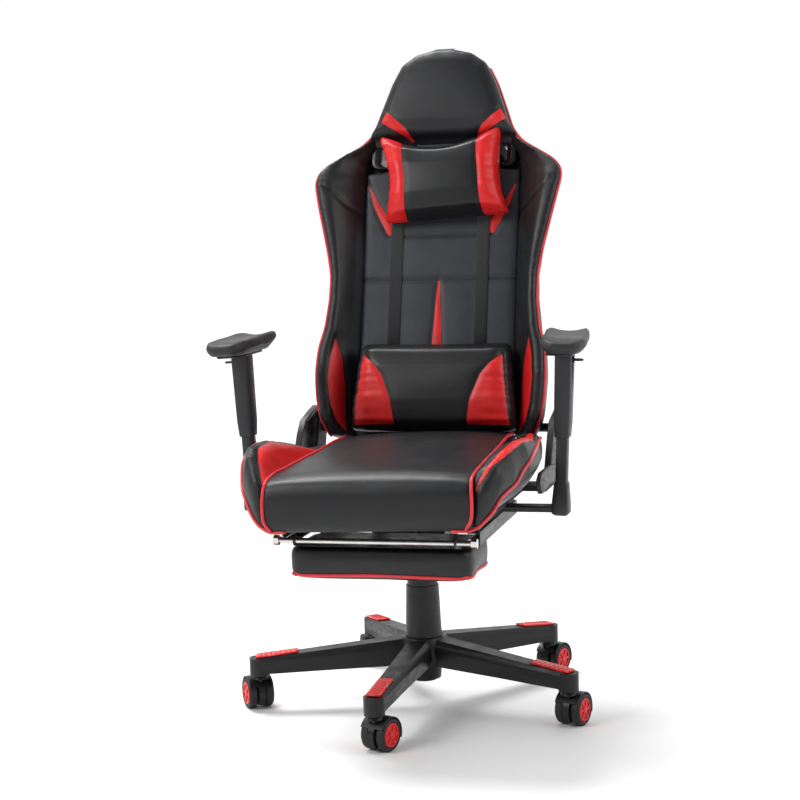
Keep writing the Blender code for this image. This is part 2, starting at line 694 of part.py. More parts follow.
# ---------------------------------------------------------------- backrest
BACK_OUTLINE = (
    # up the back, half width
    (-0.180, 0.205), (-0.140, 0.225), (-0.100, 0.232), (-0.050, 0.234), (0.000, 0.231),
    (0.040, 0.219), (0.100, 0.212), (0.150, 0.212), (0.200, 0.221), (0.250, 0.233),
    (0.295, 0.244), (0.343, 0.255), (0.366, 0.252), (0.384, 0.237), (0.411, 0.199),
    (0.434, 0.165), (0.468, 0.143), (0.510, 0.128), (0.560, 0.110), (0.599, 0.090),
    (0.620, 0.060), (0.629, 0.022))
HOLE_X0, HOLE_X1, HOLE_S0, HOLE_S1 = 0.0665, 0.147, 0.392, 0.437
PLATE_X = 0.2025


def mirrored(right):
    """Full outline from its right half, listed bottom to top as (up, half width)."""
    return [(x, s) for s, x in right] + [(-x, s) for s, x in reversed(right)]


def back_shell():
    inset = 0.012
    right = [(s - inset * max(0.0, s - 0.5) / 0.126, x - inset) for s, x in BACK_OUTLINE
             if s > -0.12]
    right = [(-0.132, 0.224)] + right
    thick = SHELL_FRONT - SHELL_REAR
    shell = on_back(plate("back_shell", mirrored(right), thick,
                          ("shell_leather", BLACK, 0.4)))
    shell.data.transform(Matrix.Translation((0, 0, (SHELL_FRONT + SHELL_REAR) / 2)))
    pockets = []
    for _, sign in SIDES:
        hole = rounded(HOLE_X0, HOLE_S0, HOLE_X1, HOLE_S1, 0.010, 3)
        pockets.append(on_back(plate("hole_tool", [(sign * x, s) for x, s in hole], 0.3)))
        pocket = box("pocket_tool", (-0.0045, -0.150, SHELL_REAR + 0.004),
                     (0.0045, 0.036, SHELL_FRONT + 0.010))
        pocket.data.transform(Matrix.Translation((sign * PLATE_X, 0, 0)))
        pockets.append(on_back(pocket))
    return cut(shell, *pockets)


def back_frame():
    """Torsion tube on the recline axis with two plates up into the backrest."""
    hy, hz = RECLINE.y, RECLINE.z
    tube = cylinder("back_frame", 0.0090, (-0.2415, hy, hz), (0.2415, hy, hz),
                    ("frame_steel", DARK, 0.45, 0.6), sides=16)
    pin = cylinder("pin_tool", 0.0070, (-0.2475, hy, hz), (0.2475, hy, hz), sides=16)
    plates = []
    for _, sign in SIDES:
        blade = box("blade_tool", (-0.0025, -0.152, SHELL_REAR + 0.006),
                    (0.0025, 0.032, SHELL_FRONT - 0.002))
        blade.data.transform(Matrix.Translation((sign * PLATE_X, 0, 0)))
        plates.append(on_back(blade))
    return join(tube, pin, *plates)


def rear_face(s):
    """Rear of the front pads: it steps forward at the bottom to clear the torsion tube."""
    return interpolate(((-0.172, -0.037), (-0.138, -0.039), (-0.124, SHELL_FRONT + GAP),
                        (1.0, SHELL_FRONT + GAP)), s)


def back_pad():
    """Flat centre panel, narrow between the belt holes."""
    rows = ((-0.172, 0.145), (-0.138, 0.154), (-0.124, 0.154), (0.120, 0.154), (0.375, 0.154),
            (0.386, 0.063), (0.4455, 0.063))
    rings = []
    for s, half in rows:
        rear = rear_face(s)
        front = PANEL_FRONT - 0.004 * (s < -0.17)
        rings.append([(-half, s, rear), (half, s, rear), (half, s, front - 0.003),
                      (half - 0.008, s, front), (-half + 0.008, s, front),
                      (-half, s, front - 0.003)])
    return on_back(loft("back_pad", rings, ("panel_leather", DARK, 0.35)))


WING_CREST = ((-0.180, 0.010), (-0.140, 0.034), (-0.050, 0.045), (0.050, 0.042), (0.150, 0.038),
              (0.300, 0.044), (0.343, 0.040), (0.384, 0.024), (0.434, 0.004), (0.4455, 0.000))


def wing(side, sign):
    """Side bolster of the back, proud of the centre panel, from the hinge to the neck."""
    stations = (-0.172, -0.138, -0.124, -0.050, 0.000, 0.040, 0.100, 0.150, 0.200, 0.250, 0.295,
                0.343, 0.366, 0.384, 0.411, 0.4455)
    rings = []
    for s in stations:
        outer = interpolate(BACK_OUTLINE, s)
        inner = 0.1545 + GAP * 2
        if s < -0.17:
            inner += 0.006
        if s > 0.434:
            outer = max(outer, inner + 0.003)
        rear = rear_face(s)
        crest = interpolate(WING_CREST, s)
        width = outer - inner
        ring = [(inner, rear), (outer - 0.10 * width, rear), (outer, rear + 0.012),
                (outer, crest - 0.008), (outer - 0.10 * width, crest),
                (outer - 0.30 * width, crest - 0.002),
                (inner + 0.20 * width, PANEL_FRONT + 0.25 * (crest - PANEL_FRONT)),
                (inner, PANEL_FRONT - 0.002)]
        rings.append([(sign * x, s, d) for x, d in ring])
    return on_back(loft(f"back_wing_{side}", rings, ("wing_leather", BLACK, 0.35)))


def head_pad():
    """Head section above the belt holes, crowned at the front, clear of the pillow below."""
    rim = [(s, x - 0.002) for s, x in BACK_OUTLINE if s > 0.462]
    rings = []
    for depth, inset, foot in ((SHELL_FRONT + GAP, 0.004, 0.4462), (-0.036, 0.0, 0.4462),
                               (-0.020, 0.0, 0.4462), (-0.012, 0.0, 0.4580),
                               (-0.002, 0.0, 0.4590), (0.010, 0.009, 0.4600),
                               (0.016, 0.026, 0.4600)):
        ring = []
        for x, s in mirrored([(foot, 0.146)] + rim):
            scale = 1 - inset / 0.14
            ring.append((x * scale, 0.535 + (s - 0.535) * (1 - inset / 0.10), depth))
        rings.append(ring)
    return on_back(loft("head_pad", rings, ("head_leather", BLACK, 0.35)))


def pillow(name, half_w, half_h, rear, front, look):
    """Padded block, lofted across its width, round at the ends and the edges."""
    rings = []
    for t, k in ((-1, 0.55), (-0.96, 0.85), (-0.80, 1.0), (0, 1.0), (0.80, 1.0), (0.96, 0.85),
                 (1, 0.55)):
        h = half_h * (0.90 + 0.10 * k)
        near = rear + 0.40 * (1 - k) * (front - rear)
        far = rear + k * (front - rear)
        outline = ((-0.86, 0), (-1, 0.25), (-1, 0.5), (-0.80, 0.88), (-0.40, 1), (0.40, 1),
                   (0.80, 0.88), (1, 0.5), (1, 0.25), (0.86, 0))
        rings.append([(t * half_w, up * h, near + deep * (far - near)) for up, deep in outline])
    return loft(name, rings, look)


def move_local(obj, x, s, turn=0.0):
    obj.data.transform(Matrix.Translation((x, s, 0)) @ Matrix.Rotation(turn, 4, "Z"))
    return obj


def band(name, path, across, width, thick, look):
    """Flat webbing along a path; `across` is the direction of its width."""
    across = Vector(across).normalized() * width / 2
    points = [Vector(p) for p in path]
    rings = []
    for i, point in enumerate(points):
        before = (point - points[i - 1]).normalized() if i else None
        after = (points[i + 1] - point).normalized() if i + 1 < len(points) else None
        along = ((before or after) + (after or before)).normalized()
        normal = across.cross(along).normalized()
        spread = 1.0
        if before and after:
            spread = 1 / sqrt(max(0.25, (1 + before.dot(after)) / 2))
        offset = normal * thick / 2 * spread
        rings.append([point - across - offset, point + across - offset,
                      point + across + offset, point - across + offset])
    return on_back(loft(name, rings, look))


def straps():
    webbing = ("webbing_black", BLACK, 0.8)
    front = PANEL_FRONT + 0.0013
    rear = SHELL_REAR - 0.0015
    result = []
    for side, sign in SIDES:
        x = sign * 0.090
        under = HOLE_S0 + 0.0014
        path = [(x, -0.168, front), (x, 0.389, front), (x, under, front - 0.005),
                (x, under, rear - 0.0015), (x, 0.360, rear), (x, -0.120, rear)]
        result.append(band(f"lumbar_strap_{side}", path, (1, 0, 0), 0.026, 0.0018, webbing))
    top = 0.4190
    half = []
    for x, d in ((0.0950, -0.0190), (0.1190, -0.0190), (0.1240, -0.0240), (0.1240, -0.0720),
                 (0.1210, rear - 0.0035), (0.1120, rear - 0.0045)):
        half.append((x, top, d))
    path = half + [(-x, s, d) for x, s, d in reversed(half)]
    result.append(band("headrest_strap", path, (0, 1, 0), 0.024, 0.0018, webbing))
    return result


def backrest(seat):
    hinge = pivot("recline_hinge", RECLINE, seat)
    head = pillow("headrest_pillow", 0.123, 0.0915, -0.0170, 0.052, ("pillow_red", RED, 0.35))
    on_back(move_local(head, 0.012, 0.3535, radians(3.5)))
    solids = [back_frame(), back_shell(), back_pad(), head_pad(), head, *straps()]
    solids += [wing(side, sign) for side, sign in SIDES]
    hang(hinge, *solids)
    lumbar = pillow("lumbar_pillow", 0.158, 0.083, -0.0170, 0.058, ("pillow_red", RED, 0.35))
    on_back(move_local(lumbar, 0.008, -0.073))
    up_the_back = BACK_ORIGIN + Vector((0, sin(LEAN), cos(LEAN))) * -0.073
    hang(pivot("lumbar_slide", up_the_back, hinge), lumbar)


# ---------------------------------------------------------------- assembly
def chair():
    root = pivot("base", (0, 0, 0))
    fixed, lift = gas_lift()
    hang(root, base_star(), *leg_pads(), *fixed)
    for i in range(5):
        castor(i)
    seat = mechanism(lift)
    hang(seat, seat_frame(), seat_cushion())
    for side, sign in SIDES:
        hang(seat, seat_bolster(side, sign), hinge_cover(side, sign))
        arm(side, sign, seat)
    recline_lever(seat)
    footrest(seat)
    backrest(seat)


chair()
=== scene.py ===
"""Looks for the gaming chair: upholstery, piping, trims, materials, light and camera (metres)."""
import json
from math import ceil, cos, pi, radians, sin

import bmesh
import bpy
import numpy as np
from mathutils import Matrix, Vector
from mathutils.bvhtree import BVHTree


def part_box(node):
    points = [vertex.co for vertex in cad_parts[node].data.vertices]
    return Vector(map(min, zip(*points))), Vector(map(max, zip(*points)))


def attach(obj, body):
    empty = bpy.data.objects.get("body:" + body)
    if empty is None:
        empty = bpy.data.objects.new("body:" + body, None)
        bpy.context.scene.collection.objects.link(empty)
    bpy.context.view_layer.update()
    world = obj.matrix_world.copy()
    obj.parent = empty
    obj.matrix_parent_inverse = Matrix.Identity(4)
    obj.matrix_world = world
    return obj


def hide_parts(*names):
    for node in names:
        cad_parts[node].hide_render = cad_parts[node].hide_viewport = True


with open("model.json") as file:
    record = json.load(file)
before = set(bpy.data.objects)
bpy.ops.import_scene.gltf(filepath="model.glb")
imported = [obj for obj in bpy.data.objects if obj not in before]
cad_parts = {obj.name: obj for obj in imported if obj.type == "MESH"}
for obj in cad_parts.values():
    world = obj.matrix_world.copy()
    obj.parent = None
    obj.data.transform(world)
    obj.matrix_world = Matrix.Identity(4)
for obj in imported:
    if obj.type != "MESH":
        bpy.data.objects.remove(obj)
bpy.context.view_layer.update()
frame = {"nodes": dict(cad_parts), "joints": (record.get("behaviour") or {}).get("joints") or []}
NODES = frame["nodes"]
JOINTS = {joint["name"]: joint for joint in frame["joints"]}
SIDES = (("left", -1), ("right", 1))

# ---- the chair's own numbers
LEAN = radians(15.4)                       # backrest behind vertical
BACK_Y, BACK_Z = 0.151, 0.685              # back-local origin: x, up the back, forward
BACK_OUTLINE = (
    (-0.180, 0.205), (-0.140, 0.225), (-0.100, 0.232), (-0.050, 0.234), (0.000, 0.231),
    (0.040, 0.219), (0.100, 0.212), (0.150, 0.212), (0.200, 0.221), (0.250, 0.233),
    (0.295, 0.244), (0.343, 0.255), (0.366, 0.252), (0.384, 0.237), (0.411, 0.199),
    (0.434, 0.165), (0.468, 0.143), (0.510, 0.128), (0.560, 0.110), (0.599, 0.090),
    (0.620, 0.060), (0.629, 0.022))
WING_CREST = ((-0.180, 0.010), (-0.140, 0.034), (-0.050, 0.045), (0.050, 0.042), (0.150, 0.038),
              (0.300, 0.044), (0.343, 0.040), (0.384, 0.024), (0.434, 0.004), (0.4455, 0.000))
HOLE = (0.0665, 0.392, 0.147, 0.437, 0.010)      # belt hole: x, up, x, up, corner radius
SEAT_FRONT, SEAT_REAR = -0.385, 0.112
CENTRE_FRONT, CENTRE_REAR = 0.190, 0.170         # half width of the seat's centre panel
BOLSTER_OUTER = ((-0.379, 0.207), (-0.369, 0.220), (-0.350, 0.236), (-0.305, 0.252),
                 (-0.220, 0.261), (-0.110, 0.257), (-0.020, 0.2465), (0.060, 0.2335),
                 (0.084, 0.2285))
SEAT_TOP = ((-0.385, 0.482), (-0.381, 0.499), (-0.372, 0.508), (-0.350, 0.515), (-0.250, 0.5205),
            (-0.100, 0.5235), (-0.020, 0.528), (0.040, 0.5295), (0.085, 0.5275),
            (0.103, 0.5235), (0.112, 0.512))
FOOTREST = (-0.169, -0.312, 0.169, -0.152)       # footrest pad, x and y
FOOTREST_LOW = 0.3150
WHEEL_R, WHEEL_HALF_W = 0.030, 0.0088
PIPING_R = 0.0031
SEAM_DEPTH, SEAM_WIDTH = 0.0022, 0.0045
CLOTH_FRAMES, EVENING_ROUNDS = 20, 14
SETTLING = 0.026                                 # the seat's slope to the left, per metre
FAR = 1.0                                        # distance that stands for no sewn line here
PLAIN = -0.05                                    # accent value where leather is black
BELT_X, BELT_WIDE, BELT_THICK = 0.090, 0.026, 0.0018
HEAD_BELT_WIDE = 0.024

BLACK = (0.0075, 0.0078, 0.0090)
# the back panel is the same black leather as the seat, given a lighter blue-grey base: painted
# reflection of the bright room
BACK_BLACK_WITH_PAINTED_REFLECTION = (0.020, 0.023, 0.029)
RED = (0.60, 0.013, 0.013)
PIPING_RED = (0.62, 0.035, 0.045)


def interpolate(table, value):
    return float(np.interp(value, [row[0] for row in table], [row[1] for row in table]))


def back(x, up, forward):
    """World point of a back-local one."""
    return Vector((x, BACK_Y + sin(LEAN) * up - cos(LEAN) * forward,
                   BACK_Z + cos(LEAN) * up + sin(LEAN) * forward))


def outline(up):
    """Half width of the backrest at some height up it."""
    return np.interp(up, *zip(*BACK_OUTLINE))


def to_back(points):
    y, z = points[:, 1] - BACK_Y, points[:, 2] - BACK_Z
    return points[:, 0], y * sin(LEAN) + z * cos(LEAN), z * sin(LEAN) - y * cos(LEAN)


def from_back(x, up, forward):
    return np.stack([x, BACK_Y + sin(LEAN) * up - cos(LEAN) * forward,
                     BACK_Z + cos(LEAN) * up + sin(LEAN) * forward], axis=1)


def centre_half(y):
    """Half width of the seat's centre panel at some distance back."""
    return CENTRE_FRONT + (y - SEAT_FRONT) / (SEAT_REAR - SEAT_FRONT) * (
        CENTRE_REAR - CENTRE_FRONT)


# ---- materials
class Paint:
    """A node material under construction."""

    def __init__(self, name):
        self.material = bpy.data.materials.new(name)
        self.material.use_nodes = True
        self.tree = self.material.node_tree
        self.shader = self.tree.nodes["Principled BSDF"]
        self.place = self.add("ShaderNodeTexCoord").outputs["Object"]

    def add(self, kind, settings=None, inputs=None):
        node = self.tree.nodes.new(kind)
        for key, value in (settings or {}).items():
            setattr(node, key, value)
        for key, value in (inputs or {}).items():
            self.wire(value, node.inputs[key])
        return node

    def wire(self, value, socket):
        if isinstance(value, bpy.types.NodeSocket):
            self.tree.links.new(value, socket)
        else:
            socket.default_value = value

    def noise(self, scale, detail=3.0, vector=None, rough=0.55):
        return self.add("ShaderNodeTexNoise", None, {
            "Vector": vector or self.place, "Scale": scale, "Detail": detail,
            "Roughness": rough}).outputs["Fac"]

    def cells(self, scale, feature="DISTANCE_TO_EDGE", vector=None):
        return self.add("ShaderNodeTexVoronoi", {"feature": feature}, {
            "Vector": vector or self.place, "Scale": scale}).outputs["Distance"]

    def span(self, value, low, high, out_low=0.0, out_high=1.0):
        return self.add("ShaderNodeMapRange", None, {
            "Value": value, "From Min": low, "From Max": high, "To Min": out_low,
            "To Max": out_high}).outputs["Result"]

    def mix(self, factor, first, second):
        """Blend two colours."""
        node = self.add("ShaderNodeMix", {"data_type": "RGBA"})
        self.wire(factor, node.inputs[0])
        for value, socket in ((first, node.inputs[6]), (second, node.inputs[7])):
            self.wire((*value, 1.0) if isinstance(value, tuple) else value, socket)
        return node.outputs[2]

    def maths(self, operation, first, second=0.0):
        node = self.add("ShaderNodeMath", {"operation": operation})
        self.wire(first, node.inputs[0])
        self.wire(second, node.inputs[1])
        return node.outputs[0]

    def attribute(self, name):
        return self.add("ShaderNodeAttribute", {"attribute_name": name}).outputs["Fac"]

    def stretched(self, scale):
        return self.add("ShaderNodeMapping", None, {
            "Vector": self.place, "Scale": scale}).outputs["Vector"]

    def bump(self, height, distance, strength=1.0, under=None):
        inputs = {"Height": height, "Distance": distance, "Strength": strength}
        if under is not None:
            inputs["Normal"] = under
        return self.add("ShaderNodeBump", None, inputs).outputs["Normal"]

    def done(self, colour, rough, normal=None, **sockets):
        self.wire((*colour, 1.0) if isinstance(colour, tuple) else colour,
                  self.shader.inputs["Base Color"])
        self.wire(rough, self.shader.inputs["Roughness"])
        if normal is not None:
            self.wire(normal, self.shader.inputs["Normal"])
        for name, value in sockets.items():
            self.shader.inputs[name.replace("_", " ")].default_value = value
        return self.material


def tint(colour, gain):
    return tuple(min(1.0, c * gain) for c in colour)


def leather(name, base, accent=None, rough=0.36, crease=1.0, sewn=True):
    """Coated leather: pebble grain, soft creases, worn sheen, red panels and sewn lines."""
    paint = Paint(name)
    colour = paint.mix(paint.span(paint.noise(22, 4), 0.3, 0.7), tint(base, 0.82),
                       tint(base, 1.2))
    near = None
    if accent:
        shade = paint.mix(paint.span(paint.noise(30, 3), 0.3, 0.7), tint(accent, 0.86),
                          tint(accent, 1.1))
        edge = paint.attribute("accent")
        colour = paint.mix(paint.span(edge, -0.0002, 0.0002), colour, shade)
        near = paint.span(paint.maths("ABSOLUTE", edge), 0.0002, 0.0010)
        colour = paint.mix(near, tint(base, 0.5), colour)
    if sewn:
        stitch = paint.span(paint.maths("ABSOLUTE", paint.attribute("line")), 0.0011, 0.0025)
        colour = paint.mix(stitch, tint(base, 0.2), colour)
    grain = paint.span(paint.cells(620), 0.0, 0.35)
    folds = paint.span(paint.noise(7, 3, paint.stretched((1.0, 1.0, 1.6)), 0.5), 0.3, 0.7)
    normal = paint.bump(folds, 0.0022 * crease, 0.25)
    normal = paint.bump(grain, 0.00022, 0.30, normal)
    normal = paint.bump(paint.noise(1600, 2), 0.0001, 0.22, normal)
    worn = paint.maths("MULTIPLY", paint.noise(14, 4), 0.16)
    grainy = paint.maths("MULTIPLY", grain, -0.04)
    glaze = paint.maths("ADD", paint.maths("ADD", worn, grainy), rough - 0.06)
    return paint.done(colour, glaze, normal, Specular_IOR_Level=0.34)


def plastic(name, base, rough=0.42, texture=1.0):
    """Moulded plastic: spark-eroded texture, faint flow marks, handling marks."""
    paint = Paint(name)
    colour = paint.mix(paint.span(paint.noise(12, 4), 0.3, 0.7), tint(base, 0.85),
                       tint(base, 1.2))
    normal = paint.bump(paint.noise(900, 3), 0.0002 * texture, 0.5)
    marks = paint.span(paint.noise(40, 5, paint.stretched((1, 1, 4))), 0.4, 0.62, -0.05, 0.07)
    return paint.done(colour, paint.maths("ADD", marks, rough), normal, Specular_IOR_Level=0.30)


def painted_steel(name, base, rough=0.38):
    """Powder-coated steel: orange peel and a mottled tone."""
    paint = Paint(name)
    colour = paint.mix(paint.span(paint.noise(25, 4), 0.35, 0.7), tint(base, 0.8),
                       tint(base, 1.3))
    normal = paint.bump(paint.cells(520, "SMOOTH_F1"), 0.00025, 0.4)
    rough_map = paint.span(paint.noise(60, 4), 0.3, 0.7, rough - 0.06, rough + 0.1)
    return paint.done(colour, rough_map, normal, Metallic=0.25)


def chrome(name, base=(0.62, 0.60, 0.57)):
    """Plated steel with fine polishing lines and faint smudges."""
    paint = Paint(name)
    smudge = paint.noise(45, 4)
    colour = paint.mix(paint.span(smudge, 0.3, 0.75), tint(base, 0.8), base)
    lines = paint.noise(300, 2, paint.stretched((0.05, 1, 1)))
    normal = paint.bump(lines, 0.00005, 0.3)
    return paint.done(colour, paint.span(smudge, 0.3, 0.8, 0.12, 0.30), normal, Metallic=1.0)


def webbing(name, base):
    """Woven belt: ribs across, a herringbone of yarns along, from the strip's own UV map."""
    paint = Paint(name)
    uv = paint.add("ShaderNodeUVMap").outputs["UV"]
    ribs = paint.add("ShaderNodeTexWave", {"wave_type": "BANDS", "bands_direction": "Y"}, {
        "Vector": uv, "Scale": 95.0, "Distortion": 0.6, "Detail": 1.0}).outputs["Fac"]
    yarns = paint.add("ShaderNodeTexWave", {"wave_type": "BANDS", "bands_direction": "X"}, {
        "Vector": uv, "Scale": 160.0, "Distortion": 1.0}).outputs["Fac"]
    weave = paint.maths("MULTIPLY", ribs, yarns)
    colour = paint.mix(weave, tint(base, 0.6), tint(base, 1.7))
    normal = paint.bump(weave, 0.0004, 0.8)
    return paint.done(colour, 0.72, normal, Sheen_Weight=0.25)


MATERIALS = {
    "seat": leather("seat_leather", BLACK, RED, 0.41, 0.8),
    # panel leather: black with a lighter base colour as painted reflection
    "panel": leather("panel_leather", BACK_BLACK_WITH_PAINTED_REFLECTION, RED, 0.46, 0.6),
    "back": leather("back_leather", tint(BLACK, 1.4), RED, 0.40, 0.8),
    "shell": leather("shell_leather", tint(BLACK, 1.4), None, 0.42),
    "pillow": leather("pillow_leather", BLACK, RED, 0.37, 0.7),
    "footrest": leather("footrest_leather", BLACK, None, 0.40),
    "arm_pad": plastic("pad_foam", (0.022, 0.022, 0.024), 0.50, 1.6),
    "piping": leather("piping_leather", PIPING_RED, None, 0.30, 0.2, sewn=False),
    "base": plastic("base_nylon", (0.009, 0.009, 0.010), 0.40, 0.8),
    "tread": plastic("tread_red", (0.66, 0.020, 0.018), 0.18, 0.4),
    "castor": plastic("castor_nylon", (0.008, 0.008, 0.009), 0.38, 0.6),
    "wheel": plastic("wheel_rubber", (0.016, 0.016, 0.017), 0.55, 1.6),
    "cap": plastic("cap_red", (0.58, 0.014, 0.018), 0.30, 0.3),
    "cover": plastic("cover_plastic", (0.018, 0.018, 0.020), 0.42, 1.4),
    "trim": plastic("trim_gloss", (0.010, 0.010, 0.011), 0.26, 0.15),
    "lever": plastic("lever_plastic", (0.018, 0.018, 0.020), 0.40, 1.0),
    "arm": painted_steel("arm_paint", (0.020, 0.021, 0.023), 0.40),
    "sleeve": plastic("sleeve_plastic", (0.020, 0.021, 0.023), 0.44, 1.2),
    "steel": painted_steel("frame_paint", (0.018, 0.018, 0.020)),
    "board": plastic("board_black", (0.016, 0.015, 0.014), 0.7, 3.0),
    "chrome": chrome("rod_chrome"),
    "screw": chrome("screw_zinc", (0.50, 0.50, 0.48)),
    "webbing": webbing("belt_webbing", (0.016, 0.016, 0.018)),
}


# ---- mesh helpers
def place_object(name, mesh, look):
    obj = bpy.data.objects.new(name, mesh)
    bpy.context.scene.collection.objects.link(obj)
    mesh.materials.clear()
    mesh.materials.append(MATERIALS[look])
    return obj


def mesh_piece(name, points, faces, look, sharp=None):
    mesh = bpy.data.meshes.new(name)
    mesh.from_pydata([tuple(p) for p in points], [], faces)
    work = bmesh.new()
    work.from_mesh(mesh)
    bmesh.ops.recalc_face_normals(work, faces=work.faces)
    work.to_mesh(mesh)
    work.free()
    mesh.shade_smooth()
    if sharp:
        mesh.set_sharp_from_angle(angle=radians(sharp))
    return place_object(name, mesh, look)


def ring_faces(rings, loop=False):
    """Points and faces of a skin between equal rings; capped at both ends unless it loops."""
    n, m = len(rings[0]), len(rings)
    faces = []
    for i in range(m if loop else m - 1):
        for j in range(n):
            k, after = (j + 1) % n, (i + 1) % m
            faces.append((i * n + j, i * n + k, after * n + k, after * n + j))
    if not loop:
        faces += [tuple(reversed(range(n))), tuple(range((m - 1) * n, m * n))]
    return [p for ring in rings for p in ring], faces


def rings_piece(name, rings, look, loop=False, sharp=None):
    """One piece from a skin between equal rings."""
    points, faces = ring_faces(rings, loop)
    return mesh_piece(name, points, faces, look, sharp)


def bake_modifiers(obj):
    """Replace an object's mesh by the one its modifiers make."""
    mesh = bpy.data.meshes.new_from_object(
        obj.evaluated_get(bpy.context.evaluated_depsgraph_get()))
    obj.modifiers.clear()
    obj.data = mesh
    return obj


def applied(obj, kind, **settings):
    """Give an object one modifier and apply it."""
    mod = obj.modifiers.new(kind, kind)
    for key, value in settings.items():
        setattr(mod, key, value)
    bake_modifiers(obj)


def coordinates(mesh):
    flat = np.zeros(len(mesh.vertices) * 3, np.float32)
    mesh.vertices.foreach_get("co", flat)
    return flat.reshape(-1, 3).astype(float)


def set_coordinates(mesh, points):
    mesh.vertices.foreach_set("co", points.astype(np.float32).ravel())
    mesh.update()


def normals(mesh):
    flat = np.zeros(len(mesh.vertices) * 3, np.float32)
    mesh.vertex_normals.foreach_get("vector", flat)
    return flat.reshape(-1, 3).astype(float)


def sew(obj, line=FAR, seam=FAR, accent=None):
    """Store each point's distance from drawn lines, pressed seams and the edge of the red."""
    for name, values in (("line", line), ("seam", seam), ("accent", accent)):
        if values is not None:
            data = obj.data.attributes.new(name, "FLOAT", "POINT")
            full = np.broadcast_to(values, len(obj.data.vertices))
            data.data.foreach_set("value", full.astype(np.float32))


def skin(obj):
    """A cushion's points and normals."""
    return coordinates(obj.data), normals(obj.data)


def spread(values, low, high):
    """Stretch values so that they run from low to high."""
    start, end = values.min(), values.max()
    return low + (values - start) * (high - low) / (end - start)


def soft_copy(name, node, look, voxel=0.005, rounds=8, warp=None, grow=(0, 0, 0), lean=True):
    """Rounded, evenly meshed copy of a CAD cushion, stretched back to its full size."""
    mesh = NODES[node].data.copy()
    obj = place_object(name, mesh, look)

    def local(points):
        return np.stack(to_back(points), axis=1) if lean else points

    full = local(coordinates(mesh))
    low, high = full.min(axis=0) - np.array(grow), full.max(axis=0) + np.array(grow)
    applied(obj, "REMESH", mode="VOXEL", voxel_size=voxel)
    applied(obj, "SMOOTH", factor=0.5, iterations=rounds)
    points = local(coordinates(obj.data))
    points = np.stack([spread(points[:, i], low[i], high[i]) for i in range(3)], axis=1)
    set_coordinates(obj.data, from_back(*points.T) if lean else points)
    if warp:
        set_coordinates(obj.data, warp(coordinates(obj.data)))
    obj.data.materials.clear()
    obj.data.materials.append(MATERIALS[look])
    return obj


def swell(cushions):
    """Blow the cushions up against their sewn and hidden points, all in one simulation."""
    rest = {}
    for obj, pinned, cap, pressure in cushions:
        group = obj.vertex_groups.new(name="pinned")
        for i in np.nonzero(pinned > 0.02)[0]:
            group.add([int(i)], float(pinned[i]), "REPLACE")
        mod = obj.modifiers.new("cloth", "CLOTH")
        cloth = mod.settings
        cloth.quality = 4
        cloth.mass = 0.25
        cloth.tension_stiffness = 12
        cloth.compression_stiffness = 12
        cloth.shear_stiffness = 4
        cloth.bending_stiffness = 6.0
        cloth.use_pressure = True
        cloth.uniform_pressure_force = pressure
        cloth.shrink_min = 0.0
        cloth.vertex_group_mass = "pinned"
        cloth.effector_weights.gravity = 0
        mod.collision_settings.use_collision = False
        mod.point_cache.frame_start = 1
        mod.point_cache.frame_end = CLOTH_FRAMES
        rest[obj.name] = coordinates(obj.data)
    for number in range(1, CLOTH_FRAMES + 1):
        bpy.context.scene.frame_set(number)
    for obj, pinned, cap, pressure in cushions:
        bake_modifiers(obj)
        base = rest[obj.name]
        move = evened(obj.data, coordinates(obj.data) - base, pinned)
        size = np.linalg.norm(move, axis=1)[:, None] + 1e-9
        set_coordinates(obj.data, base + move * (cap * np.tanh(size / cap) / size))
    bpy.context.scene.frame_set(1)


def evened(mesh, move, pinned):
    """Spread each point's movement over its neighbours, still held where it is pinned."""
    ends = np.zeros(len(mesh.edges) * 2, np.int32)
    mesh.edges.foreach_get("vertices", ends)
    first, second = ends[::2], ends[1::2]
    count = np.bincount(ends, minlength=len(move)).astype(float)[:, None] + 1e-9
    free = (1.0 - np.clip(pinned, 0, 1))[:, None]
    for _ in range(EVENING_ROUNDS):
        around = np.stack([
            np.bincount(first, move[second, i], len(move))
            + np.bincount(second, move[first, i], len(move)) for i in range(3)], axis=1)
        move = (0.4 * move + 0.6 * around / count) * free ** 0.5
    return move


def finish_cushion(obj):
    """Press the sewn lines in, then refine and smooth."""
    mesh = obj.data
    if "seam" in mesh.attributes:
        seam = np.zeros(len(mesh.vertices), np.float32)
        mesh.attributes["seam"].data.foreach_get("value", seam)
        depth = SEAM_DEPTH * np.exp(-(seam.astype(float) / SEAM_WIDTH) ** 2)
        set_coordinates(mesh, coordinates(mesh) - normals(mesh) * depth[:, None])
    applied(obj, "SUBSURF", levels=1, render_levels=1)
    obj.data.shade_smooth()
    return obj


def line_distance(x, y, points):
    """Distance of many points from a polyline."""
    best = np.full(x.shape, 1e3)
    for (ax, ay), (bx, by) in zip(points, points[1:]):
        dx, dy = bx - ax, by - ay
        t = np.clip(((x - ax) * dx + (y - ay) * dy) / (dx * dx + dy * dy), 0, 1)
        best = np.minimum(best, np.hypot(x - ax - t * dx, y - ay - t * dy))
    return best


def inside_distance(x, y, polygon):
    """Signed distance from a polygon's edge, positive inside."""
    closed = list(polygon) + [polygon[0]]
    inside = np.zeros(x.shape, bool)
    for (ax, ay), (bx, by) in zip(closed, closed[1:]):
        if ay == by:
            continue
        crosses = ((ay > y) != (by > y)) & (x < (bx - ax) * (y - ay) / (by - ay) + ax)
        inside ^= crosses
    return np.where(inside, 1.0, -1.0) * line_distance(x, y, closed)


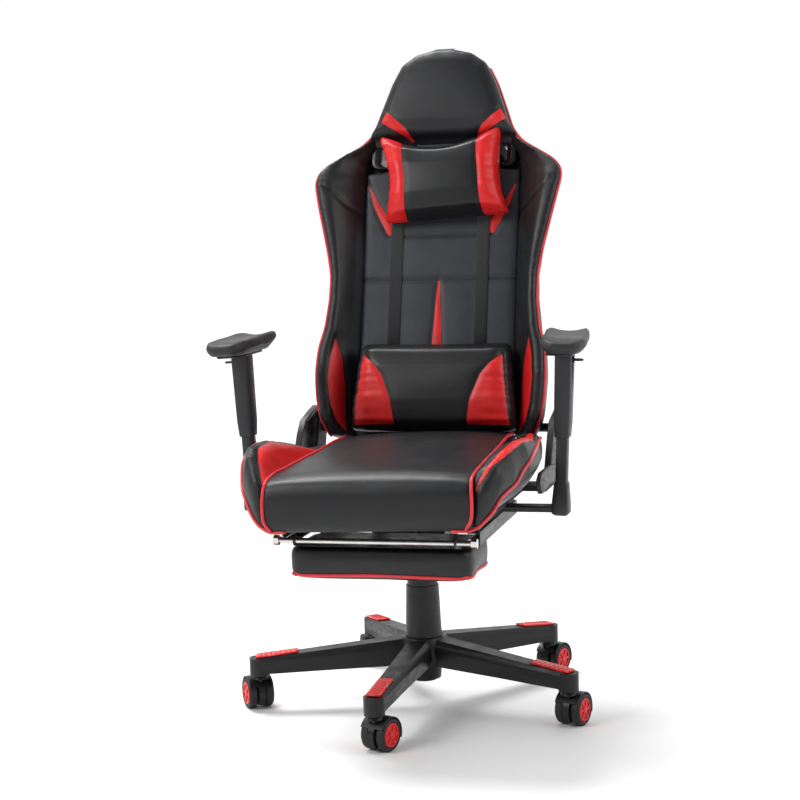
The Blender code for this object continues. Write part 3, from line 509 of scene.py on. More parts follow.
def smooth_path(points, step=0.006, closed=False):
    """Catmull-Rom curve through the points, at even steps."""
    pts = [Vector(p) for p in points]
    if closed:
        pts = [pts[-1]] + pts + pts[:2]
    else:
        pts = [2 * pts[0] - pts[1]] + pts + [2 * pts[-1] - pts[-2]]
    dense = []
    for a, b, c, d in zip(pts, pts[1:], pts[2:], pts[3:]):
        count = max(2, ceil((c - b).length / step))
        for i in range(count):
            t = i / count
            dense.append(0.5 * (2 * b + (c - a) * t + (2 * a - 5 * b + 4 * c - d) * t * t
                                + (3 * b - a - 3 * c + d) * t ** 3))
    if not closed:
        dense.append(pts[-2])
    return dense


def surface(*objects):
    """Search trees over the final meshes of some pieces."""
    return [BVHTree.FromObject(obj, bpy.context.evaluated_depsgraph_get()) for obj in objects]


def settle(points, trees, lift, reach=1.0):
    """Move points to the nearest surface, plus a lift along its normal, if it is in reach."""
    result = []
    for point in points:
        found = min((tree.find_nearest(point) for tree in trees), key=lambda hit: hit[3])
        result.append(found[0] + found[1] * lift if found[3] < reach else point)
    return result


def relaxed(points, rounds=2):
    for _ in range(rounds):
        points = [points[0]] + [(a + 2 * b + c) / 4 for a, b, c in
                                zip(points, points[1:], points[2:])] + [points[-1]]
    return points


def piping(name, points, body, closed=False, sides=8):
    """Round cord along a path, with narrowed ends where it isn't closed."""
    count = len(points)
    tangents = []
    for i in range(count):
        before = points[i - 1] if i or closed else points[i]
        after = points[(i + 1) % count] if i + 1 < count or closed else points[i]
        tangents.append((after - before).normalized())
    side = tangents[0].orthogonal().normalized()
    rings = []
    for i, (point, along) in enumerate(zip(points, tangents)):
        side = (side - along * side.dot(along)).normalized()
        other = along.cross(side)
        r = PIPING_R * (0.45 if not closed and i in (0, count - 1) else 1.0)
        rings.append([point + r * (side * cos(2 * pi * k / sides) + other * sin(
            2 * pi * k / sides)) for k in range(sides)])
    ride(rings_piece(name, rings, "piping", loop=closed), body)


def turned(profile, sides=48):
    """Rings of a body of revolution about local Z from (radius, height) pairs."""
    return [[Vector((r * cos(2 * pi * k / sides), r * sin(2 * pi * k / sides), z))
             for k in range(sides)] for r, z in profile]


def block(x0, y0, z0, x1, y1, z1):
    """Points and faces of a plain bar, to be joined with others."""
    points = [Vector((x, y, z)) for z in (z0, z1) for x, y in
              ((x0, y0), (x1, y0), (x1, y1), (x0, y1))]
    faces = [(3, 2, 1, 0), (4, 5, 6, 7), (0, 1, 5, 4), (1, 2, 6, 5), (2, 3, 7, 6), (3, 0, 4, 7)]
    return points, faces


def joined(name, solids, look, bevel=0.0, sharp=35):
    """One piece from several closed solids given as points and faces."""
    points, faces = [], []
    for more, shape in solids:
        start = len(points)
        points += more
        faces += [tuple(start + i for i in face) for face in shape]
    obj = mesh_piece(name, points, faces, look)
    if bevel:
        applied(obj, "BEVEL", width=bevel, segments=2, limit_method="ANGLE")
        obj.data.shade_smooth()
    obj.data.set_sharp_from_angle(angle=radians(sharp))
    return obj


def rounded(x0, y0, x1, y1, radius, count=5):
    """Rounded rectangle as (x, y) points, anticlockwise."""
    points = []
    for cx, cy, start in ((x1 - radius, y0 + radius, -90), (x1 - radius, y1 - radius, 0),
                          (x0 + radius, y1 - radius, 90), (x0 + radius, y0 + radius, 180)):
        for i in range(count + 1):
            a = radians(start + 90 * i / count)
            points.append((cx + radius * cos(a), cy + radius * sin(a)))
    return points


def ride(obj, body):
    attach(obj, body)
    return obj


# ---- seat
# distance back, then where the red starts and ends across a bolster, 0 inner and 1 outer
RED_BAND = {
    "left": ((-0.386, -1, 0.02), (-0.376, -1, 0.14), (-0.360, -1, 0.30), (-0.340, -1, 0.42),
             (-0.310, -1, 0.52), (-0.270, -1, 0.57), (-0.220, -1, 0.59), (-0.150, -1, 0.56),
             (-0.050, -1, 0.46), (0.040, -1, 0.34), (0.090, -1, 0.22)),
    # on the right the red starts partway across, so the valley next to the inner piping is black
    # leather as painted shade of that valley; on the left the red runs from the inner edge
    "right": ((-0.386, 0.10, 0.26), (-0.376, 0.22, 0.44), (-0.360, 0.38, 0.66),
              (-0.340, 0.48, 0.80), (-0.310, 0.56, 0.88), (-0.270, 0.60, 0.92),
              (-0.220, 0.61, 0.92), (-0.150, 0.59, 0.89), (-0.050, 0.54, 0.82),
              (0.040, 0.48, 0.75), (0.090, 0.45, 0.70))}


def pinned_by(distance, reach):
    """1 on a line, fading to 0 at some reach from it."""
    return np.clip(1.4 - distance / reach, 0, 1)


def bolster_share(points):
    """How far across a bolster points lie, 0 inner and 1 outer, and its width there."""
    y = points[:, 1]
    inner = centre_half(y)
    outer = np.interp(y, *zip(*BOLSTER_OUTER))
    return (np.abs(points[:, 0]) - inner) / (outer - inner), outer - inner


def settled(points):
    """The seat has settled a little lower on the left."""
    return points + points[:, :1] * np.array((0.0, 0.0, SETTLING))


def seat():
    jobs = []
    cushion = soft_copy("seat_centre", "seat_cushion", "seat", 0.006, 6, settled,
                        (0.001, 0.002, 0.001), lean=False)
    co, up = skin(cushion)
    edge = centre_half(co[:, 1]) - np.abs(co[:, 0])
    sew(cushion, accent=-FAR)
    held = np.maximum(pinned_by(edge, 0.012), (up[:, 2] < -0.35).astype(float))
    jobs.append((cushion, held, 0.007, 3.0))
    bolsters = []
    for side, sign in SIDES:
        obj = soft_copy(f"seat_bolster_cover_{side}", f"seat_bolster_{side}", "seat", 0.005, 5,
                        settled, (0.001, 0.001, 0.001), lean=False)
        co, up = skin(obj)
        share, width = bolster_share(co)
        rows, starts, ends = zip(*RED_BAND[side])
        start, end = np.interp(co[:, 1], rows, starts), np.interp(co[:, 1], rows, ends)
        distance = np.minimum(end - share, share - start) * width
        outward = up[:, 0] * sign
        distance = np.where((outward > 0.75) | (up[:, 2] < -0.3), PLAIN, distance)
        sew(obj, seam=np.abs(distance), accent=distance)
        held = np.maximum(pinned_by(share * width, 0.008), (up[:, 2] < -0.35).astype(float))
        held = np.maximum(held, 0.8 * pinned_by(np.abs(distance), 0.006))
        held = np.maximum(held, 0.85 * (outward > 0.8))
        jobs.append((obj, held, 0.005, 3.0))
        bolsters.append(obj)
    return cushion, bolsters, jobs


OUTER_PIPING = {
    "right": ((-0.379, 0.150, 0.415), (-0.377, 0.175, 0.416), (-0.374, 0.200, 0.421),
              (-0.370, 0.216, 0.432), (-0.360, 0.231, 0.451), (-0.345, 0.241, 0.470),
              (-0.310, 0.250, 0.488), (-0.270, 0.2555, 0.506), (-0.190, 0.2595, 0.521),
              (-0.100, 0.2565, 0.529), (-0.020, 0.246, 0.527), (0.040, 0.236, 0.524),
              (0.084, 0.228, 0.519)),
    "left": ((-0.379, 0.150, 0.410), (-0.377, 0.175, 0.410), (-0.374, 0.200, 0.417),
             (-0.370, 0.216, 0.430), (-0.360, 0.231, 0.452), (-0.345, 0.241, 0.475),
             (-0.325, 0.246, 0.490), (-0.310, 0.2495, 0.510), (-0.295, 0.2525, 0.530),
             (-0.270, 0.2555, 0.545), (-0.220, 0.2575, 0.550), (-0.110, 0.254, 0.530),
             (-0.020, 0.244, 0.507), (0.040, 0.235, 0.503), (0.084, 0.228, 0.500))}


def seat_piping(cushion, bolsters):
    for (side, sign), bolster in zip(SIDES, bolsters):
        path = [(0.176, -0.378, 0.418), (0.188, -0.3855, 0.436), (0.1915, -0.387, 0.460),
                (0.1915, -0.387, 0.480), (0.1905, -0.382, 0.497), (0.190, -0.371, 0.506)]
        for y in (-0.350, -0.300, -0.200, -0.100, 0.0, 0.060, 0.090, 0.106):
            path.append((centre_half(y) + 0.0005, y, interpolate(SEAT_TOP, y) - 0.004))
        path = smooth_path([(sign * x, y, z + SETTLING * sign * x) for x, y, z in path])
        trees = surface(cushion)
        points = relaxed(settle(path, trees, PIPING_R * 0.75))
        piping(f"seat_piping_inner_{side}", points, "seat")

        path = smooth_path([(sign * x, y, z) for y, x, z in OUTER_PIPING[side]])
        points = relaxed(settle(path, surface(bolster, cushion), PIPING_R * 0.5))
        piping(f"seat_piping_outer_{side}", points, "seat")


# ---- back
V_WEDGE = ((0.163, 0.368), (0.1356, 0.318), (0.1027, 0.2707), (0.0976, 0.2455),
           (0.1104, 0.2435), (0.1251, 0.2701), (0.1425, 0.3040))
CENTRE_WEDGE = ((-0.0024, 0.155), (-0.0135, -0.030), (0.0135, -0.030), (0.0024, 0.155))
HEAD_WEDGE = ((0.120, 0.4985), (0.133, 0.4765), (0.112, 0.4635), (0.060, 0.433), (0.079, 0.463))
WING_INSERT = ((0.197, 0.026), (0.2060, -0.020), (0.2085, -0.060), (0.204, -0.110),
               (0.193, -0.145), (0.176, -0.168), (0.1785, -0.120), (0.180, -0.070),
               (0.186, -0.020))
SHOULDER = ((0.240, 0.341), (0.214, 0.323), (0.190, 0.302), (0.158, 0.283))


def front_facing(up):
    """Share of a normal that points out of the back's front."""
    return -up[:, 1] * cos(LEAN) + up[:, 2] * sin(LEAN)


def tucked(points):
    """The sides of the back draw in behind the piping, most at the shoulders."""
    x, s, d = to_back(points)
    depth = np.clip((np.interp(s, *zip(*WING_CREST)) - 0.010 - d) / 0.10, 0, 1) ** 1.2
    inset = np.interp(s, (-0.18, 0.10, 0.30, 0.46, 0.62), (0.008, 0.012, 0.028, 0.022, 0.016))
    outer = outline(s)
    share = np.clip((np.abs(x) - 0.66 * outer) / (0.34 * outer), 0, 1)
    share = np.where((s > 0.385) & (s < 0.444), np.clip((np.abs(x) - 0.150) / 0.02, 0, 1), share)
    return from_back(x - np.sign(x) * inset * depth * share, s, d)


def widened(x):
    """Push the border between the centre panel and the wings outwards."""
    ax = np.abs(x)
    return x + np.sign(x) * 0.007 * np.interp(ax, (0.125, 0.155, 0.205), (0.0, 1.0, 0.0))


def lapped(points, way):
    """Wings reach up, and the head reaches down, so that the leather laps at the neck."""
    x, s, d = to_back(tucked(points))
    if way > 0:
        neck = np.clip((s - 0.405) / 0.03, 0, 1)
        x = (x + (widened(x) - x) * (1 - neck)) * (1 - 0.09 * neck)
    else:
        neck = np.clip((0.470 - s) / 0.024, 0, 1)
        x, s = x * (1 + 0.10 * neck), s - 0.012 * neck
    edge = outline(s) - 0.0015
    return from_back(np.sign(x) * np.minimum(np.abs(x), edge), s, d)


def footed(points):
    """The centre panel is wider than its border, and reaches down behind the seat."""
    x, s, d = to_back(points)
    foot = np.clip((-0.120 - s) / 0.04, 0, 1)
    return from_back(widened(x) * (1 + 0.09 * foot), s - 0.006 * foot, d)


def back_cover():
    jobs, pieces = [], {}
    panel = soft_copy("back_panel", "back_pad", "panel", 0.0045, 4,
                      footed, (0.001, 0.003, 0.001))
    co, up = skin(panel)
    x, s, d = to_back(co)
    ax, front = np.abs(x), front_facing(up)
    accent = np.maximum(inside_distance(ax, s, V_WEDGE), inside_distance(x, s, CENTRE_WEDGE))
    accent = np.where(front > 0.2, accent, PLAIN)
    line = np.where(ax < 0.090, np.minimum(s - 0.150, 0.242 - s), s - 0.150)
    line = np.where(front > 0.2, line, FAR)
    sew(panel, line, np.minimum(np.abs(accent) * 1.6, np.abs(line)), accent)
    held = np.maximum((front < 0.3).astype(float), pinned_by(0.1615 - ax, 0.010))
    held = np.maximum(held, pinned_by(np.abs(line), 0.007))
    held = np.maximum(held, pinned_by(np.abs(accent), 0.004))
    held = np.maximum(held, pinned_by(np.maximum(np.abs(ax - BELT_X) - 0.015, 0), 0.006))
    jobs.append((panel, held, 0.005, 3.0))
    pieces["panel"] = panel

    for side, _ in SIDES:
        wing = soft_copy(f"back_wing_cover_{side}", f"back_wing_{side}", "back", 0.005, 5,
                         lambda points: lapped(points, 1), (0.0015, 0.0035, 0.001))
        co, up = skin(wing)
        x, s, d = to_back(co)
        ax, front = np.abs(x), front_facing(up)
        accent = np.maximum(inside_distance(ax, s, WING_INSERT), inside_distance(ax, s, V_WEDGE))
        accent = np.where(front > 0.05, accent, PLAIN)
        crease = np.where(front > 0.05, line_distance(ax, s, SHOULDER), FAR)
        sew(wing, crease, np.minimum(np.abs(accent), crease), accent)
        held = np.maximum((front < -0.2).astype(float), pinned_by(ax - 0.162, 0.010))
        held = np.maximum(held, 0.9 * pinned_by(np.minimum(np.abs(accent), crease), 0.006))
        jobs.append((wing, held, 0.006, 3.0))
        pieces[side] = wing

    head = soft_copy("head_panel", "head_pad", "back", 0.005, 5,
                     lambda points: lapped(points, -1), (0.0015, 0.0045, 0.001))
    co, up = skin(head)
    x, s, d = to_back(co)
    front = front_facing(up)
    accent = inside_distance(np.abs(x - 0.005), s, HEAD_WEDGE)
    accent = np.where(front > 0.0, accent, PLAIN)
    sew(head, seam=np.where(front > 0.0, np.abs(accent), FAR), accent=accent)
    held = np.maximum((front < -0.2).astype(float), 0.9 * pinned_by(np.abs(accent), 0.006))
    held = np.maximum(held, pinned_by(s - 0.446, 0.006))
    jobs.append((head, held, 0.007, 3.0))
    pieces["head"] = head
    return pieces, jobs


def shell_lines(shell):
    """Seams of the rear cover: a border that follows the outline."""
    x, s, d = to_back(coordinates(shell.data))
    border = outline(s) - 0.042 - np.abs(x)
    rear = -front_facing(normals(shell.data)) > 0.5
    return np.where(rear & (s < 0.375), np.maximum(border, -0.02), FAR)


def back_piping(pieces):
    for side, sign in SIDES:
        path = []
        for s in (-0.176, -0.160, -0.140, -0.100, -0.050, 0.0, 0.040, 0.100, 0.150, 0.200, 0.250,
                  0.295, 0.343, 0.362, 0.384, 0.411, 0.430):
            forward = interpolate(WING_CREST, s) - 0.010
            path.append((float(outline(s)) - 0.001, s, forward))
        for s, forward in ((0.448, -0.012), (0.468, -0.020), (0.500, -0.026), (0.540, -0.030),
                           (0.575, -0.034), (0.600, -0.036)):
            path.append((float(outline(s)) - 0.001, s, forward))
        path = smooth_path([back(sign * x, s, d) for x, s, d in path])
        trees = surface(pieces[side], pieces["head"])
        neck = [0.395 < sin(LEAN) * (p.y - BACK_Y) + cos(LEAN) * (p.z - BACK_Z) < 0.475
                for p in path]
        firm = settle(path, trees, PIPING_R * 0.5, 0.012)
        points = relaxed([p if bare else q for p, q, bare in zip(path, firm, neck)], 6)
        piping(f"back_piping_{side}", points, "backrest")


def belt_hole_trims():
    """Glossy moulded bezels that line the two belt holes, front and rear."""
    x0, s0, x1, s1, r = HOLE
    profile = ((0.0002, -0.0735), (0.0002, -0.0250), (0.0010, -0.0228), (0.0025, -0.0218),
               (0.0042, -0.0226), (0.0050, -0.0260), (0.0050, -0.0300), (0.0030, -0.0310),
               (0.0030, -0.0735), (0.0060, -0.0748), (0.0072, -0.0765), (0.0060, -0.0782),
               (0.0030, -0.0788), (0.0008, -0.0775))
    for side, sign in SIDES:
        rings = []
        for out, d in profile:
            end = x1 + out - 0.0155 * max(0.0, 1 - out / 0.003)
            ring = rounded(x0 - out, s0 - out, end, s1 + out, r + out)
            rings.append([back(sign * x, s, d) for x, s in ring])
        obj = rings_piece(f"belt_hole_trim_{side}", rings, "trim", loop=True, sharp=50)
        ride(obj, "backrest")


# ---- pillows
HEADREST = (0.012, 0.3535, radians(3.5), 0.123, 0.0915)
LUMBAR = (0.008, -0.073, 0.0, 0.158, 0.083)
LUMBAR_EDGE = ((-0.090, 0.072), (-0.035, 0.080), (0.016, 0.100), (0.040, 0.120), (0.056, 0.140))


def pillow_local(points, spec):
    x, s, d = to_back(points)
    cx, cs, turn, _, _ = spec
    dx, ds = x - cx, s - cs
    return dx * cos(turn) + ds * sin(turn), ds * cos(turn) - dx * sin(turn), d


def pillow_world(u, v, d, spec):
    cx, cs, turn, _, _ = spec
    return from_back(cx + u * cos(turn) - v * sin(turn), cs + u * sin(turn) + v * cos(turn), d)


def headrest_shape(points):
    """Bow tie: waisted ends, dipped top edge, fuller middle."""
    u, v, d = pillow_local(points, HEADREST)
    flare = np.where(v < 0, np.where(u > 0, 1.30, 1.08), np.where(u < 0, 1.45, 0.95))
    u = u * (0.885 + 0.115 * np.clip(np.abs(v) / 0.09, 0, 1) ** 2 * flare)
    across = np.clip(np.abs(u) / 0.12, 0, 1) ** 2
    u = u - 0.006 * np.clip(v / 0.09, 0, 1)
    v = np.where(v > 0, v * (0.71 + 0.39 * across), v * 0.88)
    d = d - 0.006 * across
    return pillow_world(u, v, d, HEADREST)


def lumbar_shape(points):
    """Slightly wider at the foot, fullest below its middle."""
    u, v, d = pillow_local(points, LUMBAR)
    u = u * (1.0 - 0.055 * np.clip(v / 0.083, -1, 1))
    v = v * np.where(v < 0, 1.10, 0.97 + 0.03 * np.clip(np.abs(u) / 0.15, 0, 1) ** 2)
    return pillow_world(u, v, d, LUMBAR)


def puckers(u, v, ends, size):
    """Small gathers that run in from a pillow's ends."""
    reach = np.clip((np.abs(u) - ends) / 0.05, 0, 1)
    wave = np.sin(v * 260 + 9 * np.abs(u) + 1.7 * np.sin(v * 71)) * np.sin(v * 97 + 0.8)
    return size * reach * wave


def pillows():
    jobs, made = [], []
    for name, node, spec, warp in (
            ("headrest_cushion", "headrest_pillow", HEADREST, headrest_shape),
            ("lumbar_cushion", "lumbar_pillow", LUMBAR, lumbar_shape)):
        obj = soft_copy(name, node, "pillow", 0.0045, 5, warp, (0.003, 0.002, 0.001))
        co, up = skin(obj)
        u, v, d = pillow_local(co, spec)
        front = front_facing(up)
        if spec is HEADREST:
            edge = 0.0755 + 0.004 * (v / 0.09) ** 2
            accent = np.abs(u + 0.006 * np.clip(v / 0.09, 0, 1)) - edge
            seam = np.abs(accent)
        else:
            edge = np.interp(v, *zip(*LUMBAR_EDGE))
            accent = np.minimum(np.abs(u) - edge, 0.150 - 0.12 * v - np.abs(u))
            accent = np.minimum(accent, np.minimum(0.064 - v, v + 0.084))
            accent = np.where(front > -0.1, accent, PLAIN)
            seam = np.abs(accent)
        sew(obj, seam=np.where(front > -0.2, seam, FAR), accent=accent)
        fold = puckers(u, v, edge, 0.0016) * (front > 0)
        set_coordinates(obj.data, co + up * fold[:, None])
        held = np.maximum((front < -0.55).astype(float), 0.85 * pinned_by(seam, 0.006))
        jobs.append((obj, held, 0.008, 4.0))
        made.append(obj)
    return made, jobs


# ---- straps
def ribbon(name, path, across, width, thick, look):
    """Woven strip along a path, with rolled edges and a UV map in metres."""
    across = Vector(across).normalized()
    points = smooth_corners(path)
    shape = [(-0.5, 0.0), (-0.47, 0.42), (-0.25, 0.5), (0.25, 0.5), (0.47, 0.42), (0.5, 0.0),
             (0.47, -0.42), (0.25, -0.5), (-0.25, -0.5), (-0.47, -0.42)]
    rings, run = [], [0.0]
    for i, point in enumerate(points):
        before = points[max(0, i - 1)]
        after = points[min(len(points) - 1, i + 1)]
        normal = across.cross((after - before).normalized()).normalized()
        rings.append([point + across * (a * width) + normal * (b * thick) for a, b in shape])
        if i:
            run.append(run[-1] + (point - points[i - 1]).length)
    obj = rings_piece(name, rings, look)
    layer = obj.data.uv_layers.new(name="strip")
    n = len(shape)
    for loop in obj.data.loops:
        i, j = divmod(loop.vertex_index, n)
        layer.data[loop.index].uv = (shape[j][0] * width, run[i])
    return obj


def smooth_corners(path, reach=0.004):
    """Straight runs with each corner rounded over a short reach."""
    pts = [Vector(p) for p in path]
    out = [pts[0]]
    for a, b, c in zip(pts, pts[1:], pts[2:]):
        into, away = (b - a), (c - b)
        cut = min(reach, into.length * 0.45, away.length * 0.45)
        start, end = b - into.normalized() * cut, b + away.normalized() * cut
        for t in (0.0, 0.33, 0.67, 1.0):
            out.append((1 - t) ** 2 * start + 2 * t * (1 - t) * b + t * t * end)
    out.append(pts[-1])
    return out


def straps():
    front, rear = -0.0176, -0.0765
    for side, sign in SIDES:
        x, under = sign * BELT_X, 0.3934
        path = [(x, -0.168, front), (x, 0.389, front), (x, under, front - 0.005),
                (x, under, rear - 0.0015), (x, 0.360, rear), (x, -0.120, rear)]
        obj = ribbon(f"lumbar_belt_{side}", [back(*p) for p in path], (1, 0, 0), BELT_WIDE,
                     BELT_THICK, "webbing")
        ride(obj, "backrest")
        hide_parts(f"lumbar_strap_{side}")
    half = [(0.0950, 0.419, -0.0190), (0.1190, 0.419, -0.0190), (0.1240, 0.419, -0.0240),
            (0.1240, 0.419, -0.0720), (0.1210, 0.419, rear - 0.0035),
            (0.1120, 0.419, rear - 0.0045)]
    path = half + [(-x, s, d) for x, s, d in reversed(half)]
    up_back = back(0, 1, 0) - back(0, 0, 0)
    obj = ribbon("headrest_belt", [back(*p) for p in path], up_back, HEAD_BELT_WIDE,
                 BELT_THICK, "webbing")
    ride(obj, "backrest")
    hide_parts("headrest_strap")


# ---- footrest and arm pads
def footrest():
    obj = soft_copy("footrest_cushion", "footrest_pad", "footrest", 0.005, 6, None,
                    (0.001, 0.001, 0.001), lean=False)
    sew(obj)
    held = (normals(obj.data)[:, 2] > 0.3).astype(float)
    return obj, [(obj, held, 0.005, 3.0)]


def footrest_piping(cushion):
    x0, y0, x1, y1 = FOOTREST
    path = [(x, y, FOOTREST_LOW + 0.0022) for x, y in rounded(x0, y0, x1, y1, 0.020)]
    path = settle(smooth_path(path, 0.006, True), surface(cushion), PIPING_R * 0.3)
    piping("footrest_piping", path, "footrest", closed=True)


def arm_pads():
    for side, _ in SIDES:
        obj = soft_copy(f"arm_pad_cover_{side}", f"arm_pad_{side}", "arm_pad", 0.0035, 6, None,
                        (0.001, 0.002, 0.001), lean=False)
        finish_cushion(obj)
        ride(obj, f"arm_{side}")
        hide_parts(f"arm_pad_{side}")


# ---- castors and base
def wheel_profile():
    w, r = WHEEL_HALF_W, WHEEL_R
    return ((0.0042, -w), (0.0042, w - 0.0035), (0.0222, w - 0.0035), (0.0232, w - 0.0010),
            (0.0245, w - 0.0002), (0.0270, w - 0.0004), (r - 0.0009, w - 0.0022),
            (r, w - 0.0050), (r, -w + 0.0040), (r - 0.0008, -w + 0.0012), (r - 0.0022, -w))


def cap_solids():
    """Red hub cap: outer ring, hub and six spokes."""
    w = WHEEL_HALF_W
    ring = turned(((0.0182, w - 0.0034), (0.0182, w - 0.0012), (0.0190, w - 0.0006),
                   (0.0212, w - 0.0006), (0.0220, w - 0.0014), (0.0220, w - 0.0034)))
    hub = turned(((0.0001, w - 0.0034), (0.0066, w - 0.0034), (0.0066, w - 0.0008),
                  (0.0052, w - 0.0002), (0.0001, w - 0.0002)), 24)
    dish = turned(((0.0001, w - 0.0037), (0.0200, w - 0.0037), (0.0200, w - 0.0027),
                   (0.0001, w - 0.0027)), 36)
    solids = [ring_faces(ring, loop=True), ring_faces(hub), ring_faces(dish)]
    for i in range(6):
        points, faces = block(0.0050, -0.0024, w - 0.0034, 0.0190, 0.0024, w - 0.0012)
        points = [Matrix.Rotation(i * pi / 3, 4, "Z") @ p for p in points]
        solids.append((points, faces))
    return solids


def wheels():
    for i in range(1, 6):
        for side, sign in SIDES:
            joint = JOINTS[f"castor_{i}_axle_{side}"]
            outward = Vector(joint["axis"]) * sign
            turn = outward.to_track_quat("Z", "Y").to_matrix().to_4x4()
            world = Matrix.Translation(joint["pos_m"]) @ turn
            body = f"castor_{i}_roller_{side}"
            wheel = rings_piece(f"castor_{i}_tyre_{side}", turned(wheel_profile(), 56), "wheel",
                                loop=True, sharp=40)
            wheel.data.transform(world)
            ride(wheel, body)
            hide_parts(f"castor_{i}_wheel_{side}")
            cap = joined(f"castor_{i}_cap_{side}", cap_solids(), "cap", 0.0003)
            cap.data.transform(world)
            ride(cap, body)


def treads():
    """Raised chevrons on the red plates of the legs."""
    for i in range(1, 6):
        node = NODES[f"leg_pad_{i}"]
        co = coordinates(node.data)
        along = Vector((co[:, 0].mean(), co[:, 1].mean(), 0)).normalized()
        across = Vector((-along.y, along.x, 0))
        reach = co[:, :2] @ np.array(along[:2])
        low, high = reach.min(), reach.max()
        top_in = co[reach < low + 0.004, 2].max()
        top_out = co[reach > high - 0.004, 2].max()
        slope = (top_out - top_in) / (high - low)
        solids = []
        for k in range(8):
            centre = low + 0.008 + k * (high - low - 0.016) / 7
            for wing in (-1, 1):
                points, faces = block(-0.0011, 0.0004, -0.0006, 0.0011, 0.0105, 0.0009)
                skew = []
                for p in points:
                    a = centre + p.x - 0.45 * p.y
                    z = top_in + slope * (a - low) + p.z
                    skew.append(along * a + across * (wing * p.y) + Vector((0, 0, z)))
                if wing < 0:
                    faces = [tuple(reversed(face)) for face in faces]
                solids.append((skew, faces))
        obj = joined(f"leg_tread_{i}", solids, "tread", 0.0004)
        ride(obj, "base")


def screws():
    """Socket-head screws on the hinge covers."""
    for side, sign in SIDES:
        low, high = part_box(f"hinge_cover_{side}")
        face = high.x if sign > 0 else low.x
        for n, (y, z, r) in enumerate(((0.160, 0.528, 0.0095), (0.124, 0.445, 0.0048),
                                       (0.118, 0.500, 0.0040))):
            rings = turned(((r, -0.0010), (r, 0.0016), (r * 0.86, 0.0026), (r * 0.52, 0.0026),
                            (r * 0.46, 0.0008), (0.0001, 0.0008)), 24)
            points, faces = ring_faces(rings)
            turn = Matrix.Rotation(sign * pi / 2, 4, "Y")
            world = Matrix.Translation((face, y, z)) @ turn
            obj = joined(f"hinge_screw_{side}_{n + 1}", [([world @ p for p in points], faces)],
                         "screw")
            ride(obj, "seat")


# ---- CAD nodes that stay
def keep(look, edge, *names):
    """Soften the edges of CAD nodes that stay, and give them their finish."""
    for name in names:
        node = NODES[name]
        mesh = node.data
        if "custom_normal" in mesh.attributes:
            mesh.attributes.remove(mesh.attributes["custom_normal"])
        mesh.shade_smooth()
        mesh.materials.clear()
        mesh.materials.append(MATERIALS[look])
        node.modifiers.new("weld", "WELD").merge_threshold = 1e-5
        if edge:
            mod = node.modifiers.new("edges", "BEVEL")
            mod.width = edge
            mod.segments = 2
            mod.limit_method = "ANGLE"
            mod.angle_limit = radians(38)
            mod.harden_normals = True
            mod.use_clamp_overlap = True


def hard_parts():
    numbers = range(1, 6)
    keep("base", 0.0016, "base_star")
    keep("tread", 0.0008, *[f"leg_pad_{i}" for i in numbers])
    keep("castor", 0.0008, *[f"castor_{i}_hood" for i in numbers])
    keep("steel", 0.0006, "gas_lift_tube", "tilt_housing", "mechanism_plate", "back_frame",
         "footrest_rail_left", "footrest_rail_right", "footrest_hinge_plate")
    keep("chrome", 0.0004, "lift_piston", "footrest_rod")
    keep("cover", 0.0008, "lift_cover_lower", "lift_cover_upper", "hinge_cover_left",
         "hinge_cover_right")
    keep("lever", 0.0005, "tension_knob", "height_lever", "recline_lever", "arm_lever_left",
         "arm_lever_right")
    keep("arm", 0.0010, "arm_bracket_left", "arm_bracket_right")
    keep("sleeve", 0.0008, "arm_sleeve_left", "arm_sleeve_right")
    keep("board", 0.0006, "seat_frame")


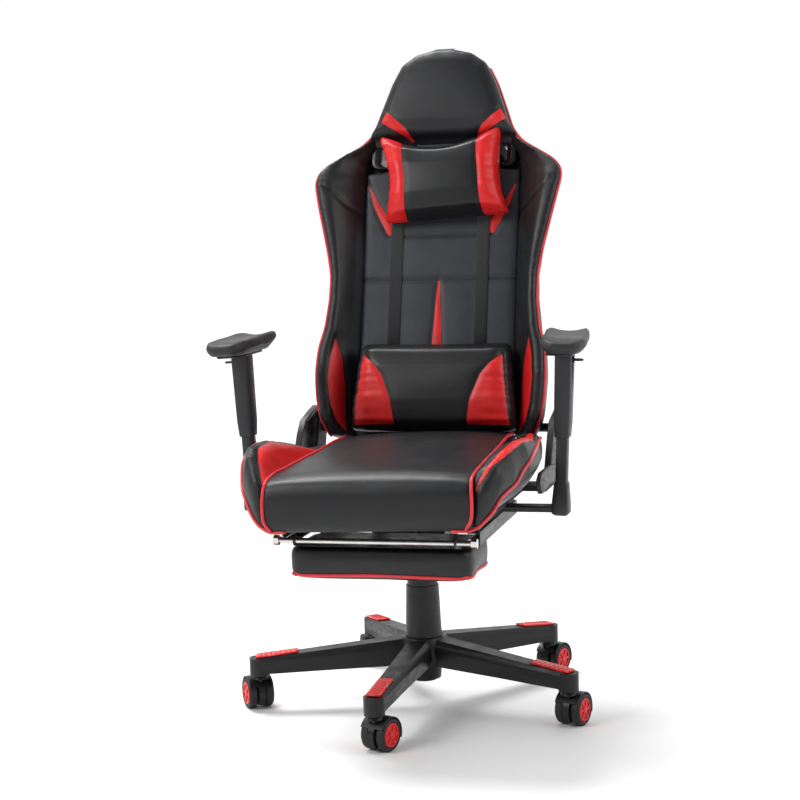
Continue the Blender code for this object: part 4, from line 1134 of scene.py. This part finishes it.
# ---- stage
def stage():
    scene = bpy.context.scene
    paint = Paint("floor_paint")
    paint.done((0.80, 0.80, 0.80), paint.span(paint.noise(3, 2), 0.3, 0.7, 0.55, 0.62))
    MATERIALS["floor"] = paint.material
    floor = mesh_piece("floor", [(-14, -14, -0.0004), (14, -14, -0.0004), (14, 14, -0.0004),
                                 (-14, 14, -0.0004)], [(0, 1, 2, 3)], "floor")
    world = bpy.data.worlds.new("studio")
    world.use_nodes = True
    tree = world.node_tree
    place = tree.nodes.new("ShaderNodeTexCoord")
    split = tree.nodes.new("ShaderNodeSeparateXYZ")
    tree.links.new(place.outputs["Generated"], split.inputs[0])
    glow = tree.nodes.new("ShaderNodeMapRange")
    tree.links.new(split.outputs["Y"], glow.inputs["Value"])
    for key, value in (("From Min", -0.35), ("From Max", 0.25), ("To Min", 0.28),
                       ("To Max", 1.0)):
        glow.inputs[key].default_value = value
    tree.links.new(glow.outputs["Result"], tree.nodes["Background"].inputs["Strength"])
    tree.nodes["Background"].inputs["Color"].default_value = (1, 1, 1, 1)
    scene.world = world
    sun = bpy.data.lights.new("daylight", "SUN")
    sun.energy = 2.85
    sun.angle = radians(24)
    lamp = bpy.data.objects.new("daylight", sun)
    scene.collection.objects.link(lamp)
    lamp.rotation_euler = Vector((0.45, -0.30, -1.0)).to_track_quat("-Z", "Y").to_euler()
    for name, place, aim, size, power in (
            ("key", (-2.2, -2.4, 2.6), (0, 0, 0.6), 1.6, 82),
            ("rim", (2.4, -0.6, 1.8), (0.1, 0, 0.8), 1.2, 22)):
        light = bpy.data.lights.new(name, "AREA")
        light.energy = power
        light.size = size
        lamp = bpy.data.objects.new(name, light)
        scene.collection.objects.link(lamp)
        lamp.location = place
        lamp.rotation_euler = (Vector(aim) - Vector(place)).to_track_quat("-Z", "Y").to_euler()
    lens = bpy.data.cameras.new("camera")
    lens.lens = 81.85
    lens.sensor_width = 36
    lens.clip_end = 60
    camera = bpy.data.objects.new("camera", lens)
    scene.collection.objects.link(camera)
    look = Vector((-0.2549, 0.9605, -0.1120)).normalized()
    right = look.cross(Vector((0.0015, 0.1162, 0.9932))).normalized()
    up = right.cross(look)
    camera.matrix_world = Matrix((
        (right.x, up.x, -look.x, 0.867), (right.y, up.y, -look.y, -3.394),
        (right.z, up.z, -look.z, 0.998), (0, 0, 0, 1)))
    scene.camera = camera
    scene.view_settings.view_transform = "Standard"


# ---- assembly
def upholstery():
    cushion, bolsters, jobs = seat()
    pieces, more = back_cover()
    jobs += more
    (head_pillow, lumbar_pillow), more = pillows()
    jobs += more
    foot, more = footrest()
    jobs += more
    shell = soft_copy("back_shell_cover", "back_shell", "shell", 0.005, 3, tucked,
                      (0.001, 0.001, 0.001))
    sew(shell, shell_lines(shell), None)
    swell(jobs)
    for obj, _, _, _ in jobs:
        finish_cushion(obj)
    finish_cushion(shell)
    for obj, body, slot, node, fill in (
            (cushion, "seat", "seat_leather", "seat_cushion", 0.8),
            (bolsters[0], "seat", "bolster_leather", "seat_bolster_left", 0.85),
            (bolsters[1], "seat", "bolster_leather", "seat_bolster_right", 0.85),
            (pieces["panel"], "backrest", "back_leather", "back_pad", 0.8),
            (pieces["left"], "backrest", "back_leather", "back_wing_left", 0.85),
            (pieces["right"], "backrest", "back_leather", "back_wing_right", 0.85),
            (pieces["head"], "backrest", "back_leather", "head_pad", 0.85),
            (shell, "backrest", "shell_leather", "back_shell", 0.9),
            (head_pillow, "backrest", "pillow_leather", "headrest_pillow", 0.75),
            (lumbar_pillow, "lumbar", "pillow_leather", "lumbar_pillow", 0.75),
            (foot, "footrest", "footrest_leather", "footrest_pad", 0.8)):
        ride(obj, body)
        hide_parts(node)
    seat_piping(cushion, bolsters)
    back_piping(pieces)
    footrest_piping(foot)


upholstery()
belt_hole_trims()
straps()
arm_pads()
hard_parts()
wheels()
treads()
screws()
stage()
